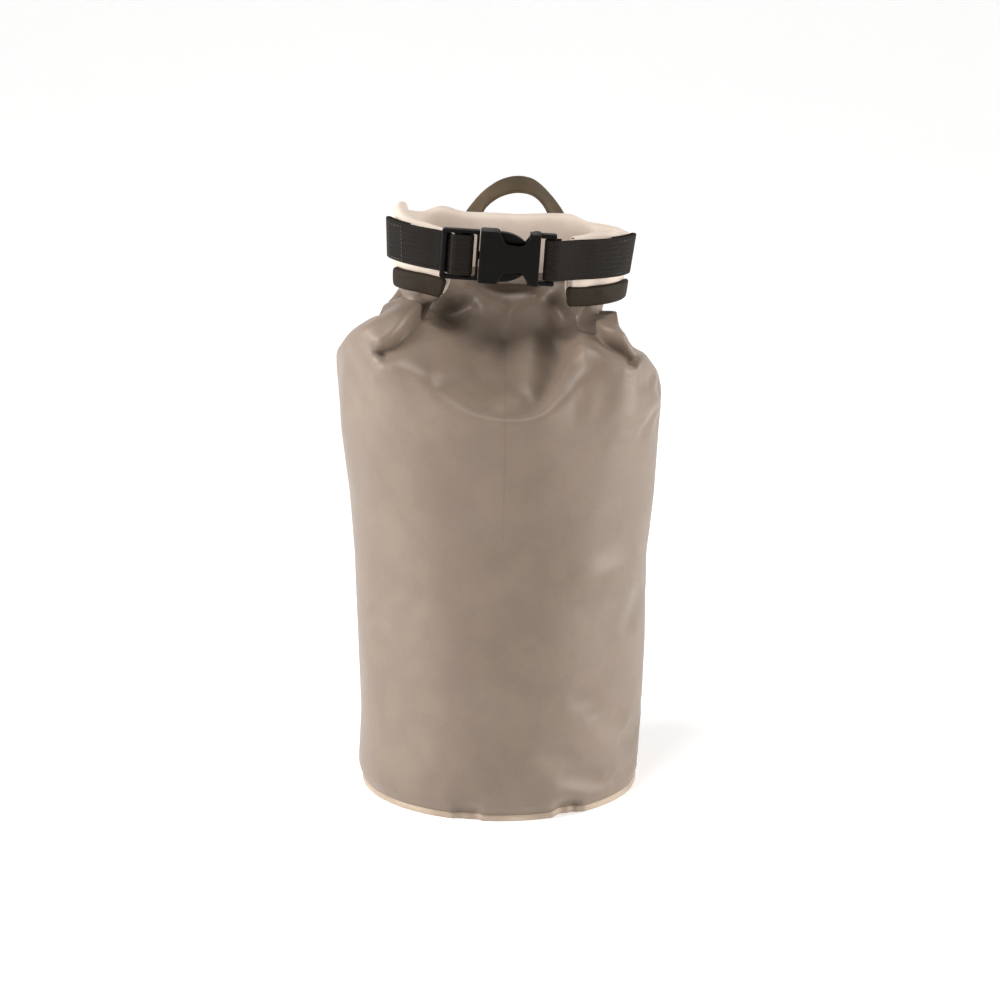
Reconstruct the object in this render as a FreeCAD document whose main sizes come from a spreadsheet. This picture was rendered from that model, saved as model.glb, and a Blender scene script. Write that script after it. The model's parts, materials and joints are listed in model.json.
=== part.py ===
"""Roll-top dry bag: coated fabric tube, rolled mouth bent into a C and held by a side-release buckle.

Frame: origin at the middle of the base on the ground, +Z up, buckle side facing -Y, +X to its right.
Every closure piece is built level in a frame of its own and then tilted with the roll.
"""
import FreeCAD, Part
import Sketcher
import math
import os

from FreeCAD import Placement, Rotation, Vector

DIMENSIONS = (
    # Fabric tube: height of each ring, its half width, its half depth and how far it sits back.
    ("foot_height", 2.4), ("foot_wide", 84.0), ("foot_deep", 84.0), ("foot_back", 0.0),
    ("sole_height", 12.0), ("sole_wide", 88.0), ("sole_deep", 88.0), ("sole_back", 0.0),
    ("waist_height", 90.0), ("waist_wide", 89.5), ("waist_deep", 89.0), ("waist_back", 0.0),
    ("chest_height", 174.0), ("chest_wide", 93.0), ("chest_deep", 88.0), ("chest_back", 0.0),
    ("bulge_height", 226.0), ("bulge_wide", 99.0), ("bulge_deep", 83.0), ("bulge_back", 0.0),
    ("shoulder_height", 256.0), ("shoulder_wide", 99.5), ("shoulder_deep", 76.0), ("shoulder_back", 0.0),
    ("yoke_height", 281.0), ("yoke_wide", 94.0), ("yoke_deep", 64.0), ("yoke_back", -1.0),
    ("collar_height", 301.0), ("collar_wide", 84.0), ("collar_deep", 50.0), ("collar_back", -4.0),
    ("neck_height", 328.0), ("neck_wide", 70.0), ("neck_deep", 35.0), ("neck_back", -7.0),
    ("ceiling_height", 304.5), ("ceiling_wide", 80.0), ("ceiling_deep", 46.0), ("ceiling_back", -5.0),
    ("fabric", 1.2), ("touch_gap", 0.3),
    # Base disc and the tapes welded over the seams.
    ("base_radius", 86.0), ("base_thick", 2.0), ("base_ease", 1.2), ("tape_wide", 22.0),
    ("tape_thick", 0.8),
    ("side_tape_top", 262.0), ("base_tape_height", 16.0),
    # Rolled mouth, in the closure frame: a straight back run, two bends and two wings.
    ("closure_x", 5.5), ("closure_z", 340.0), ("closure_tilt", 4.0),
    ("roll_tall", 46.0), ("roll_thick", 13.0), ("back_run", 92.0), ("back_line", 21.0),
    ("bend_radius", 24.0), ("bend_sweep", 158.0), ("wing_length", 22.0),
    ("core_tall", 30.0), ("core_thick", 3.4), ("stiffener_tall", 26.0), ("stiffener_thick", 1.4),
    ("slot_thick", 7.0), ("band_low", -22.0), ("band_tall", 12.5),
    # Webbing and its stitches.
    ("webbing_wide", 25.0), ("webbing_thick", 1.8), ("strap_middle", 7.5), ("strap_sweep", 76.0),
    ("stitch_long", 1.8), ("stitch_thick", 0.5), ("stitch_step", 2.7),
    # Side-release buckle, in its own frame: length along X from the socket mouth at the middle.
    ("buckle_x", -7.0), ("buckle_y", -45.0), ("buckle_tall", 32.0), ("socket_thick", 11.0),
    ("mouth_at", -11.5), ("socket_end", 35.0), ("socket_floor", 18.0), ("rail_start", 23.0),
    ("cavity_tall", 27.0), ("cavity_thick", 6.4), ("window_start", 0.0), ("window_end", 18.5),
    ("window_depth", 8.5), ("web_slot_start", 24.2), ("web_slot_end", 29.4), ("slot_tall", 26.6),
    ("plug_end", -35.0), ("plug_base", -12.0), ("plug_tall", 31.0), ("plug_thick", 5.0),
    ("outer_slot_start", -31.6), ("outer_slot_end", -27.0),
    ("inner_slot_start", -22.4), ("inner_slot_end", -13.6),
    ("guide_end", 14.0), ("guide_tall", 4.4), ("guide_thick", 3.4),
    ("prong_gap", 0.6), ("prong_middle", 9.7), ("prong_thick", 3.0), ("prong_deep", 5.0),
    ("prong_end", 16.0), ("catch_at", 0.6), ("catch_height", 15.4), ("leaf_long", 9.0),
    ("corner_radius", 2.4),
    # Carry loop behind the roll.
    ("loop_x", 9.0), ("loop_y", 42.0), ("loop_radius", 33.0), ("loop_top", 375.0),
    ("loop_hinge", 311.0), ("loop_wide", 22.0), ("leg_overlap", 8.0),
    ("patch_wide", 30.0), ("patch_low", 268.0), ("patch_high", 309.0), ("patch_thick", 1.0),
    ("root_low", 274.0), ("root_high", 307.0),
)
RINGS = ("foot", "sole", "waist", "chest", "bulge", "shoulder", "yoke", "collar", "neck")
SIDES = {"left": -1, "right": 1}
BIG = 400.0
# Free room for cutting tools that must pass right through, and the slack for recognising an edge.
CLEAR = 20.0
SLACK = 0.1

doc = FreeCAD.newDocument("DryBag")
size = doc.addObject("Spreadsheet::Sheet", "Size")
for row, (alias, value) in enumerate(DIMENSIONS, start=1):
    size.set(f"A{row}", alias)
    size.set(f"B{row}", str(value))
    size.setAlias(f"B{row}", alias)
doc.recompute()
parts = []


def number(rule):
    """Value of a rule written with the sheet's names."""
    return float(size.evalExpression(rule.replace("Size.", "")))


def bind(item, **rules):
    for name, rule in rules.items():
        item.setExpression(name, rule)
    return item


def keep(item, label, placement=None):
    """Marks an object as one finished sub-part."""
    item.Label = label
    if placement is not None:
        item.Placement = placement
    parts.append(item)
    return item


def turned(degrees, axis=Vector(0, 0, 1), at=Vector(0, 0, 0)):
    return Placement(at, Rotation(axis, degrees))


def moved(x=0.0, y=0.0, z=0.0):
    return Placement(Vector(x, y, z), Rotation())


def box(name, long, wide, tall, placement):
    item = doc.addObject("Part::Box", name)
    bind(item, Length=long, Width=wide, Height=tall)
    item.Placement = placement
    return item


def block(name, low, high):
    """Box between two corners, each given as three rules."""
    spans = [f"({top}) - ({bottom})" for bottom, top in zip(low, high)]
    return box(name, *spans, moved(*[number(rule) for rule in low]))


def fuse(name, shapes):
    item = doc.addObject("Part::MultiFuse", name)
    item.Shapes = shapes
    item.Refine = True
    return item


def group(name, shapes):
    item = doc.addObject("Part::Compound", name)
    item.Links = shapes
    return item


def cut(name, base, tool):
    item = doc.addObject("Part::Cut", name)
    item.Base = base
    item.Tool = tool
    return item


def common(name, base, tool):
    item = doc.addObject("Part::Common", name)
    item.Base = base
    item.Tool = tool
    return item


# ---- Frames -------------------------------------------------------------------------------------

closure_frame = turned(number("closure_tilt"), Vector(0, 1, 0),
                       Vector(number("closure_x"), 0, number("closure_z")))
buckle_frame = closure_frame * moved(number("buckle_x"), number("buckle_y"), number("strap_middle"))


# ---- Fabric tube --------------------------------------------------------------------------------

def tube_form(name, growth, rings=RINGS):
    """Closed solid inside the tube's rings, each grown by the same amount."""
    sections = []
    for ring in rings:
        section = doc.addObject("Part::Ellipse", f"{name}_{ring}")
        bind(section, MajorRadius=f"Size.{ring}_wide + ({growth})",
             MinorRadius=f"Size.{ring}_deep + ({growth})")
        section.Placement = moved(0, number(f"{ring}_back"), number(f"{ring}_height"))
        sections.append(section)
    form = doc.addObject("Part::Loft", name)
    form.Sections = sections
    form.Solid = True
    return form


def wall_patch(name, inner, outer, area):
    """Curved sheet that lies along the tube, as much of it as the area box holds."""
    outside = common(f"{name}_outside", tube_form(f"{name}_outer", outer), area)
    return cut(name, outside, tube_form(f"{name}_inner", inner))


def make_tube_wall():
    """The main tube. Its shoulder closes in to a C-shaped slot under the roll."""
    outside = tube_form("tube_outside", "0")
    inside = tube_form("tube_inside", "-Size.fabric", RINGS[:-1] + ("ceiling",))
    hollow = cut("tube_hollow", outside, inside)
    above = box("above_neck", str(BIG), str(BIG), str(BIG), closure_frame * moved(
        -BIG / 2, -BIG / 2, -number("roll_tall") / 2 - number("touch_gap")))
    slot = c_band("neck_slot", "0", "Size.slot_thick", "-Size.roll_tall", "Size.roll_tall")
    slot.Placement = closure_frame
    tools = fuse("tube_tools", [above, slot])
    keep(cut("tube_wall", hollow, tools), "tube_wall")


def make_tapes():
    """Seam tape up the inside of the back, and a ring of tape inside the base seam."""
    skin = "-Size.fabric - Size.touch_gap"
    rear = block("side_tape_box", ("-Size.tape_wide / 2", "0", "Size.base_tape_height + 6"),
                 ("Size.tape_wide / 2", f"Size.waist_deep + {CLEAR}", "Size.side_tape_top"))
    keep(wall_patch("side_tape", f"{skin} - Size.tape_thick", skin, rear), "tube_seam_tape")
    reach = f"(Size.waist_wide + {CLEAR})"
    low = block("base_tape_box", (f"-{reach}", f"-{reach}", "Size.foot_height + 1"),
                (reach, reach, "Size.base_tape_height"))
    keep(wall_patch("base_tape", f"{skin} - Size.tape_thick", skin, low), "base_seam_tape")


def make_base_panel():
    """Round base disc with an eased edge, standing on the ground."""
    disc = doc.addObject("Part::Cylinder", "base_disc")
    bind(disc, Radius="Size.base_radius", Height="Size.base_thick")
    doc.recompute()
    eased = doc.addObject("Part::Fillet", "base_eased")
    eased.Base = disc
    ease = number("base_ease")
    eased.Edges = [(index, ease, ease) for index, edge in enumerate(disc.Shape.Edges, start=1)
                   if edge.Length > number("base_radius") and edge.BoundBox.ZMax < SLACK]
    keep(eased, "base_panel")


# ---- Rolled mouth -------------------------------------------------------------------------------

def bend_frame(side):
    return moved(SIDES[side] * number("back_run") / 2, number("back_line") - number("bend_radius"))


def bend_piece(name, side, offset, thick, low, tall, sweep="Size.bend_sweep"):
    """Part of a bend next to its wing, offset outward from the roll's middle line."""
    rings = []
    for edge, sign in (("outer", "+"), ("inner", "-")):
        ring = doc.addObject("Part::Cylinder", f"{name}_{side}_{edge}")
        bind(ring, Radius=f"Size.bend_radius + ({offset}) {sign} ({thick}) / 2", Height=tall, Angle=sweep)
        start = 90 - number("bend_sweep")
        if side == "left":
            start = 90 + number("bend_sweep") - number(sweep)
        ring.Placement = bend_frame(side) * turned(start, at=Vector(0, 0, number(low)))
        rings.append(ring)
    return cut(f"{name}_{side}_bend", *rings)


def wing_piece(name, side, offset, thick, low, tall, long="Size.wing_length"):
    """Straight wing after the bend, running back towards the buckle."""
    radius = number("bend_radius") + number(offset) - number(thick) / 2
    start = 90 - SIDES[side] * number("bend_sweep")
    run = 0.0 if side == "left" else -number(long)
    place = bend_frame(side) * turned(start) * moved(radius, run, number(low))
    return box(f"{name}_{side}_wing", thick, long, tall, place)


def c_band(name, offset, thick, low, tall):
    """Upright band along the whole C: back run, both bends and both wings."""
    rear = f"Size.back_line + ({offset})"
    pieces = [block(f"{name}_run", ("-Size.back_run / 2", f"{rear} - ({thick}) / 2", low),
                    ("Size.back_run / 2", f"{rear} + ({thick}) / 2", f"({low}) + ({tall})"))]
    for side in SIDES:
        pieces.append(bend_piece(name, side, offset, thick, low, tall))
        pieces.append(wing_piece(name, side, offset, thick, low, tall))
    return fuse(name, pieces)


def make_roll():
    """Rolled fabric, hollow for the plastic strip that the mouth is rolled around."""
    outer = c_band("roll_outer", "0", "Size.roll_thick", "-Size.roll_tall / 2", "Size.roll_tall")
    core = c_band("roll_core", "0", "Size.core_thick", "-Size.core_tall / 2", "Size.core_tall")
    keep(cut("roll", outer, core), "rolled_mouth", closure_frame)
    strip = c_band("strip", "0", "Size.stiffener_thick", "-Size.stiffener_tall / 2",
                   "Size.stiffener_tall")
    keep(strip, "mouth_stiffener", closure_frame)


SKIN = "Size.roll_thick / 2 + Size.touch_gap + Size.webbing_thick / 2"


def make_mouth_bands():
    """Dark rim band, showing under each strap where the last turn ends."""
    for side in SIDES:
        shape = (side, SKIN, "Size.webbing_thick", "Size.band_low", "Size.band_tall")
        pieces = [bend_piece("band", *shape, sweep="Size.strap_sweep"), wing_piece("band", *shape)]
        keep(fuse(f"band_{side}", pieces), f"mouth_band_{side}", closure_frame)


# ---- Straps -------------------------------------------------------------------------------------

STRAP_LOW = "Size.strap_middle - Size.webbing_wide / 2"


def strap_on_wing(side):
    shape = (side, SKIN, "Size.webbing_thick", STRAP_LOW, "Size.webbing_wide")
    return [bend_piece("strap", *shape, sweep="Size.strap_sweep"), wing_piece("strap", *shape)]


def bar_loop(name, bar_start, bar_end, thick, tail):
    """Webbing wound once round a buckle bar: front face, both turns and a back face as far as tail."""
    gap = number("touch_gap")
    web = number("webbing_thick")
    skin = number(thick) / 2 + gap
    low = -number("webbing_wide") / 2
    near = number(bar_start) - gap - web
    far = number(bar_end) + gap + web
    spans = ((near, far, -skin - web, -skin), (near, near + web, -skin, skin),
             (far - web, far, -skin, skin), (min(near, tail), max(far, tail), skin, skin + web))
    walls = []
    for index, (x_low, x_high, y_low, y_high) in enumerate(spans):
        walls.append(box(f"{name}_{index}", str(x_high - x_low), str(y_high - y_low), "Size.webbing_wide",
                         moved(x_low, y_low, low)))
    return walls


def make_straps():
    """Left strap runs from the roll to the plug, right strap from the roll to the socket."""
    keep(fuse("strap_left", strap_on_wing("left")), "left_strap", closure_frame)
    keep(fuse("strap_right", strap_on_wing("right")), "right_strap", closure_frame)
    left = bar_loop("plug_wrap", "Size.outer_slot_end", "Size.inner_slot_start", "Size.plug_thick",
                    number("outer_slot_end"))
    keep(fuse("wrap_left", left), "left_strap_wrap", buckle_frame)
    right = bar_loop("socket_wrap", "Size.web_slot_end", "Size.socket_end", "Size.plug_thick",
                     number("socket_end") + number("webbing_thick") * 3)
    keep(fuse("wrap_right", right), "right_strap_wrap", buckle_frame)


def make_strap_stitching():
    """Two upright rows of stitches where each strap is sewn to the roll."""
    radius = number("bend_radius") + number("roll_thick") / 2 + number("touch_gap") + number("webbing_thick")
    count = int((number("webbing_wide") - 3) / number("stitch_step"))
    for side, sign in SIDES.items():
        stitches = []
        for row in (1, 2):
            angle = 90 - sign * (number("bend_sweep") - number("strap_sweep") + 5 + 11 * row)
            for index in range(count):
                rise = number(STRAP_LOW) + 2 + index * number("stitch_step")
                place = bend_frame(side) * turned(angle) * moved(radius, -0.25, rise)
                stitches.append(box(f"stitch_{side}_{row}_{index}", "Size.stitch_thick", "Size.stitch_thick",
                                    "Size.stitch_long", place))
        keep(group(f"stitches_{side}", stitches), f"{side}_strap_stitching", closure_frame)


# ---- Side-release buckle ------------------------------------------------------------------------

def new_sketch(body, name, plane="XZ_Plane"):
    sketch = body.newObject("Sketcher::SketchObject", name)
    base = next(item for item in body.Origin.OriginFeatures if item.Role == plane)
    sketch.AttachmentSupport = [(base, "")]
    sketch.MapMode = "FlatFace"
    return sketch


def outline(sketch, corners):
    """Closed outline whose corners are pairs of rules, each bound to the sheet."""
    points = [Vector(number(across), number(up), 0) for across, up in corners]
    count = len(points)
    for index in range(count):
        sketch.addGeometry(Part.LineSegment(points[index], points[(index + 1) % count]), False)
    for index in range(count):
        sketch.addConstraint(Sketcher.Constraint("Coincident", index, 2, (index + 1) % count, 1))
    for index, (across, up) in enumerate(corners):
        sizes = (("DistanceX", across, points[index].x), ("DistanceY", up, points[index].y))
        for kind, rule, value in sizes:
            spot = sketch.addConstraint(Sketcher.Constraint(kind, -1, 1, index, 1, value))
            sketch.setExpression(f"Constraints[{spot}]", rule)


def rectangle(x_low, z_low, x_high, z_high):
    return ((x_low, z_low), (x_high, z_low), (x_high, z_high), (x_low, z_high))


def both_ways(body, kind, name, corners, thick):
    """Pad or pocket of an outline, the same amount to both sides of the middle plane."""
    before = body.Shape.Volume if body.Tip else 0.0
    sketch = new_sketch(body, f"{name}_sketch")
    outline(sketch, corners)
    feature = body.newObject(f"PartDesign::{kind}", name)
    feature.Profile = sketch
    bind(feature, Length=thick)
    feature.SideType = "Symmetric"
    doc.recompute()
    grew = body.Shape.Volume > before
    assert grew == (kind == "Pad"), f"{name} changed nothing"
    return feature


def ease_corners(body, name, x_spots):
    """Rounds the buckle's outer corners, which run along Y."""
    near_rim = number("buckle_tall") / 2 - number("corner_radius")
    names = []
    for index, edge in enumerate(body.Shape.Edges, start=1):
        bounds = edge.BoundBox
        at_end = any(abs(bounds.Center.x - spot) < SLACK for spot in x_spots)
        if bounds.XLength < SLACK and bounds.ZLength < SLACK and abs(bounds.Center.z) > near_rim and at_end:
            names.append(f"Edge{index}")
    last = body.Tip
    fillet = body.newObject("PartDesign::Fillet", name)
    fillet.Base = (last, names)
    bind(fillet, Radius="Size.corner_radius")
    doc.recompute()


def make_socket():
    """Socket half: a mouth for the plug, a window each side for its catches, and a bar for the strap."""
    body = doc.addObject("PartDesign::Body", "socket")
    half = "Size.buckle_tall / 2"
    cavity = "Size.cavity_tall / 2"
    main = rectangle("Size.mouth_at", f"-{half}", "Size.rail_start", half)
    both_ways(body, "Pad", "socket_block", main, "Size.socket_thick")
    rails = rectangle("Size.rail_start - 1", f"-{half}", "Size.socket_end", half)
    both_ways(body, "Pad", "socket_rails", rails, "Size.plug_thick")
    inside = rectangle("Size.mouth_at - 1", f"-{cavity}", "Size.socket_floor", cavity)
    both_ways(body, "Pocket", "socket_cavity", inside, "Size.cavity_thick")
    for side, sign in (("upper", ""), ("lower", "-")):
        deep = f"{sign}({half} - Size.window_depth)"
        over = f"{sign}({half} + 1)"
        corners = rectangle("Size.window_start", deep, "Size.window_end", over)
        both_ways(body, "Pocket", f"window_{side}", corners, "Size.socket_thick + 2")
    slot = rectangle("Size.web_slot_start", "-Size.slot_tall / 2", "Size.web_slot_end",
                     "Size.slot_tall / 2")
    both_ways(body, "Pocket", "socket_web_slot", slot, "Size.socket_thick + 2")
    ease_corners(body, "socket_corners", (number("mouth_at"), number("socket_end")))
    keep(body, "buckle_socket", buckle_frame)


def make_plug():
    """Plug half: a two-slot frame that the strap threads through, and a guide that enters the socket."""
    body = doc.addObject("PartDesign::Body", "plug")
    half = "Size.plug_tall / 2"
    slot = "Size.slot_tall / 2"
    main = rectangle("Size.plug_end", f"-{half}", "Size.plug_base", half)
    both_ways(body, "Pad", "plug_frame", main, "Size.plug_thick")
    for ring in ("outer", "inner"):
        corners = rectangle(f"Size.{ring}_slot_start", f"-{slot}", f"Size.{ring}_slot_end", slot)
        both_ways(body, "Pocket", f"{ring}_slot", corners, "Size.plug_thick + 2")
    guide = "Size.guide_tall / 2"
    tongue = rectangle("Size.plug_base - 1", f"-{guide}", "Size.guide_end", guide)
    both_ways(body, "Pad", "plug_guide", tongue, "Size.guide_thick")
    ease_corners(body, "plug_corners", (number("plug_end"),))
    keep(body, "buckle_plug", buckle_frame)


def make_prongs():
    """Two springy arms with catches that press inwards to free the plug."""
    root = "Size.plug_base + Size.prong_gap"
    low = "Size.prong_middle - Size.prong_thick / 2"
    high = "Size.prong_middle + Size.prong_thick / 2"
    corners = ((root, low), ("Size.prong_end - 2", low), ("Size.prong_end", "Size.prong_middle"),
               ("Size.catch_at + Size.leaf_long", "Size.catch_height - 1"),
               ("Size.catch_at", "Size.catch_height"),
               ("Size.catch_at", "Size.cavity_tall / 2 - Size.touch_gap"), (root, high))
    for side, roll in (("upper", 0), ("lower", 180)):
        body = doc.addObject("PartDesign::Body", f"prong_{side}")
        both_ways(body, "Pad", f"arm_{side}", corners, "Size.prong_deep")
        keep(body, f"buckle_prong_{side}", buckle_frame * turned(roll, Vector(1, 0, 0)))


# ---- Carry loop ---------------------------------------------------------------------------------

def leg_x(side):
    return f"Size.loop_x + ({SIDES[side]}) * Size.loop_radius"


def leg_block(name, side, wide, low, high):
    """Box that spans one leg across X and all of the tube's rear half."""
    middle = leg_x(side)
    return block(name, (f"{middle} - {wide} / 2", "0", low),
                 (f"{middle} + {wide} / 2", f"Size.shoulder_deep + {CLEAR}", high))


def make_handle_base():
    """For each leg a patch welded to the shoulder, the sewn root of the webbing, and its stitches."""
    patch_out = "Size.touch_gap + Size.patch_thick"
    root_in = f"{patch_out} + Size.touch_gap"
    root_out = f"{root_in} + Size.webbing_thick"
    for side in SIDES:
        area = leg_block(f"patch_box_{side}", side, "Size.patch_wide", "Size.patch_low", "Size.patch_high")
        keep(wall_patch(f"patch_{side}", "Size.touch_gap", patch_out, area), f"handle_patch_{side}")
        area = leg_block(f"root_box_{side}", side, "Size.loop_wide", "Size.root_low", "Size.root_high")
        keep(wall_patch(f"root_{side}", root_in, root_out, area), f"handle_root_{side}")
        rows = []
        for index, rise in enumerate(("Size.root_low + 3", "Size.root_high - 4")):
            area = leg_block(f"row_box_{side}_{index}", side, "(Size.loop_wide - 5)", rise,
                             f"{rise} + Size.stitch_thick * 2")
            skin = f"{root_out} + Size.stitch_thick"
            rows.append(wall_patch(f"row_{side}_{index}", root_out, skin, area))
        keep(group(f"rows_{side}", rows), f"handle_stitching_{side}")


def make_handle_loop():
    """Webbing loop: legs that lie flat to the bag at the bottom and turn edge-on into the arch."""
    arch_rise = number("loop_top") - number("loop_radius")
    rear = number("loop_y") + number("loop_wide") / 2
    upright = turned(90, Vector(1, 0, 0), Vector(number("loop_x"), rear, arch_rise))
    rings = []
    for edge, inset in (("outer", "0"), ("inner", "Size.webbing_thick")):
        ring = doc.addObject("Part::Cylinder", f"arch_{edge}")
        bind(ring, Radius=f"Size.loop_radius - {inset}", Height="Size.loop_wide", Angle="180")
        ring.Placement = upright
        rings.append(ring)
    pieces = [cut("arch", *rings)]
    rise = "Size.loop_top - Size.loop_radius"
    for side, sign in SIDES.items():
        middle = leg_x(side)
        inner = f"{middle} - ({sign}) * Size.webbing_thick"
        low, high = (middle, inner) if sign < 0 else (inner, middle)
        cheek_low = (low, "Size.loop_y - Size.loop_wide / 2", f"{rise} - Size.leg_overlap")
        pieces.append(block(f"cheek_{side}", cheek_low, (high, "Size.loop_y + Size.loop_wide / 2", rise)))
        leg_low = (f"{middle} - Size.loop_wide / 2", "Size.loop_y - Size.webbing_thick / 2",
                   "Size.loop_hinge")
        leg_high = (f"{middle} + Size.loop_wide / 2", "Size.loop_y + Size.webbing_thick / 2", rise)
        pieces.append(block(f"leg_{side}", leg_low, leg_high))
    keep(fuse("handle", pieces), "handle_loop")


# ---- Build and write ----------------------------------------------------------------------------

def write_parts():
    doc.recompute()
    for item in doc.Objects:
        assert not {"Invalid", "Error"} & set(item.State), f"{item.Name} failed"
    for item in parts:
        assert not item.Shape.isNull() and item.Shape.isValid(), f"{item.Label} has no valid shape"
    os.makedirs("parts", exist_ok=True)
    for item in parts:
        item.Shape.exportStep(f"parts/{item.Label}.step")
        volume = item.Shape.Volume / 1000
        print(f"{item.Label}: {volume:.2f} cm3, {len(item.Shape.Solids)} solids")


make_tube_wall()
make_tapes()
make_base_panel()
make_roll()
make_mouth_bands()
make_straps()
make_strap_stitching()
make_socket()
make_plug()
make_prongs()
make_handle_base()
make_handle_loop()
write_parts()
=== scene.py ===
"""Looks of the roll-top dry bag: cloth tube, rolled mouth, webbing, buckle and carry loop.

Metres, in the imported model's frame: origin under the base, +Z up, buckle side facing -Y.
"""
import json
import math

import bmesh
import bpy
import numpy as np
from mathutils import Matrix, Vector, noise
from mathutils.bvhtree import BVHTree


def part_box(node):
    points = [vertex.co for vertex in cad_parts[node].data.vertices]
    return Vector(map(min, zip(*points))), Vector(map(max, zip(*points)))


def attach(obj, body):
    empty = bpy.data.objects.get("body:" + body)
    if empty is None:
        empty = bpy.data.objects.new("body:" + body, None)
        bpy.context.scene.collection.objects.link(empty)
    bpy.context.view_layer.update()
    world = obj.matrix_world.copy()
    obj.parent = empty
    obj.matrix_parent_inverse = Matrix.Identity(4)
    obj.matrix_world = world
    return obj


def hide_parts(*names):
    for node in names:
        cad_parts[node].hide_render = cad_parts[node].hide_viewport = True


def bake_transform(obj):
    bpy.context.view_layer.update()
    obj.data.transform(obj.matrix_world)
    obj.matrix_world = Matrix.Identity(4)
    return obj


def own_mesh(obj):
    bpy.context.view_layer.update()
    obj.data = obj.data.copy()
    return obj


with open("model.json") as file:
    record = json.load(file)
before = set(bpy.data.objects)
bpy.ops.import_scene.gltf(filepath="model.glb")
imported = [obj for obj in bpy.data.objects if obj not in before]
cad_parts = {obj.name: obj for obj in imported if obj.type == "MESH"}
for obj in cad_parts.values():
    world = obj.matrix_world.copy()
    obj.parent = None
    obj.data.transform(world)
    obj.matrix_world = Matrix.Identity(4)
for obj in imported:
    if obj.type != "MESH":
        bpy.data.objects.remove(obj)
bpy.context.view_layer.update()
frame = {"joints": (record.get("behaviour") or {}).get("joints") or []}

MM = 0.001
X_AXIS = Vector((1, 0, 0))
Y_AXIS = Vector((0, 1, 0))
Z_AXIS = Vector((0, 0, 1))
SIDES = {"left": -1, "right": 1}


# ---- Places taken from the frame ----------------------------------------------------------------

def joint(name):
    return next(item for item in frame["joints"] if item["name"] == name)


def place(x=0.0, y=0.0, z=0.0):
    return Matrix.Translation((x, y, z))


roll_low, roll_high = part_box("rolled_mouth")
release_axis = Vector(joint("buckle_release")["axis"])
tilt = math.atan2(release_axis.z, -release_axis.x)
roll_middle = (roll_low + roll_high) / 2
closure = place(roll_middle.x, 0, roll_middle.z) @ Matrix.Rotation(tilt, 4, "Y")
STRAP_MIDDLE = 7.5 * MM
buckle = closure @ place(-7 * MM, -45 * MM, STRAP_MIDDLE)
loop_hinge = Vector(joint("carry_loop_swing")["pos_m"])

# The rolled mouth's middle line: back run, two bends, two wings.
BACK_RUN = 92 * MM
BACK_LINE = 21 * MM
BEND = 24 * MM
SWEEP = math.radians(158)
WING = 22 * MM
ROLL_HALF = BACK_RUN / 2 + BEND * SWEEP + WING
ROLL_THICK = 13 * MM
ROLL_TALL = 46 * MM
WEB_THICK = 1.7 * MM
WEB_WIDE = 25 * MM


def ease(value):
    value = min(max(value, 0.0), 1.0)
    return value * value * (3 - 2 * value)


def roll_line(along, offset=0.0):
    """Point and outward direction on the roll's middle line, measured from the middle of its back run."""
    side = 1 if along >= 0 else -1
    rest = abs(along) - BACK_RUN / 2
    angle = min(max(rest / BEND, 0.0), SWEEP)
    out = Vector((math.sin(angle), math.cos(angle), 0))
    spot = Vector((min(abs(along), BACK_RUN / 2), BACK_LINE - BEND, 0)) + out * (BEND + offset)
    spot += Vector((math.cos(SWEEP), -math.sin(SWEEP), 0)) * max(rest - BEND * SWEEP, 0.0)
    return Vector((spot.x * side, spot.y, 0)), Vector((out.x * side, out.y, 0))


# The filled bag pulls the roll's corners in, lower down more so: millimetres at the top and the bottom.
TUCK = {-1: (2.5, 5.6), 1: (0.2, 4.6)}


def tucked(spot):
    """Point of the closure frame with the roll's corners pulled in."""
    side = 1 if spot.x > 0 else -1
    top, bottom = TUCK[side]
    share = min(max(0.5 - spot.z / ROLL_TALL, 0.0), 1.0)
    amount = (top + (bottom - top) * share) * MM * ease((abs(spot.x) - 34 * MM) / (34 * MM))
    return Vector((spot.x - side * amount, spot.y, spot.z))


def on_roll(along, offset, height):
    """Point on the roll and its outward direction, in the frame of the model."""
    spot, out = roll_line(along, offset)
    return closure @ tucked(spot + Z_AXIS * height), closure.to_3x3() @ out


def through(stops, where):
    """Smooth value between (place, value) stops."""
    if where <= stops[0][0]:
        return stops[0][1]
    for (start, first), (end, last) in zip(stops, stops[1:]):
        if where <= end:
            return first + (last - first) * ease((where - start) / (end - start))
    return stops[-1][1]


# ---- Mesh helpers -------------------------------------------------------------------------------

def make_object(name, mesh, material):
    piece = bpy.data.objects.new(name, mesh)
    bpy.context.scene.collection.objects.link(piece)
    mesh.materials.clear()
    mesh.materials.append(material)
    for face in mesh.polygons:
        face.use_smooth = True
    return piece


def grid_mesh(name, rows, around=False, maps=None):
    """Mesh through rows of points. around joins each row's ends, and maps gives each point's UV."""
    wide = len(rows[0])
    mesh = bpy.data.meshes.new(name)
    faces = []
    corners = []
    for row in range(len(rows) - 1):
        for column in range(wide if around else wide - 1):
            after = (column + 1) % wide
            here, above = row * wide, (row + 1) * wide
            faces.append((here + column, here + after, above + after, above + column))
            corners += [(row, column), (row, column + 1), (row + 1, column + 1), (row + 1, column)]
    mesh.from_pydata([point for row in rows for point in row], [], faces)
    if maps:
        layer = mesh.uv_layers.new(name="UVMap")
        for loop, corner in enumerate(corners):
            layer.data[loop].uv = maps(*corner)
    return mesh


def settle(piece):
    """Applies a piece's modifiers, so that only its mesh is left."""
    graph = bpy.context.evaluated_depsgraph_get()
    mesh = bpy.data.meshes.new_from_object(piece.evaluated_get(graph), depsgraph=graph)
    piece.modifiers.clear()
    piece.shape_key_clear()
    piece.data = mesh
    return piece


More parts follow.
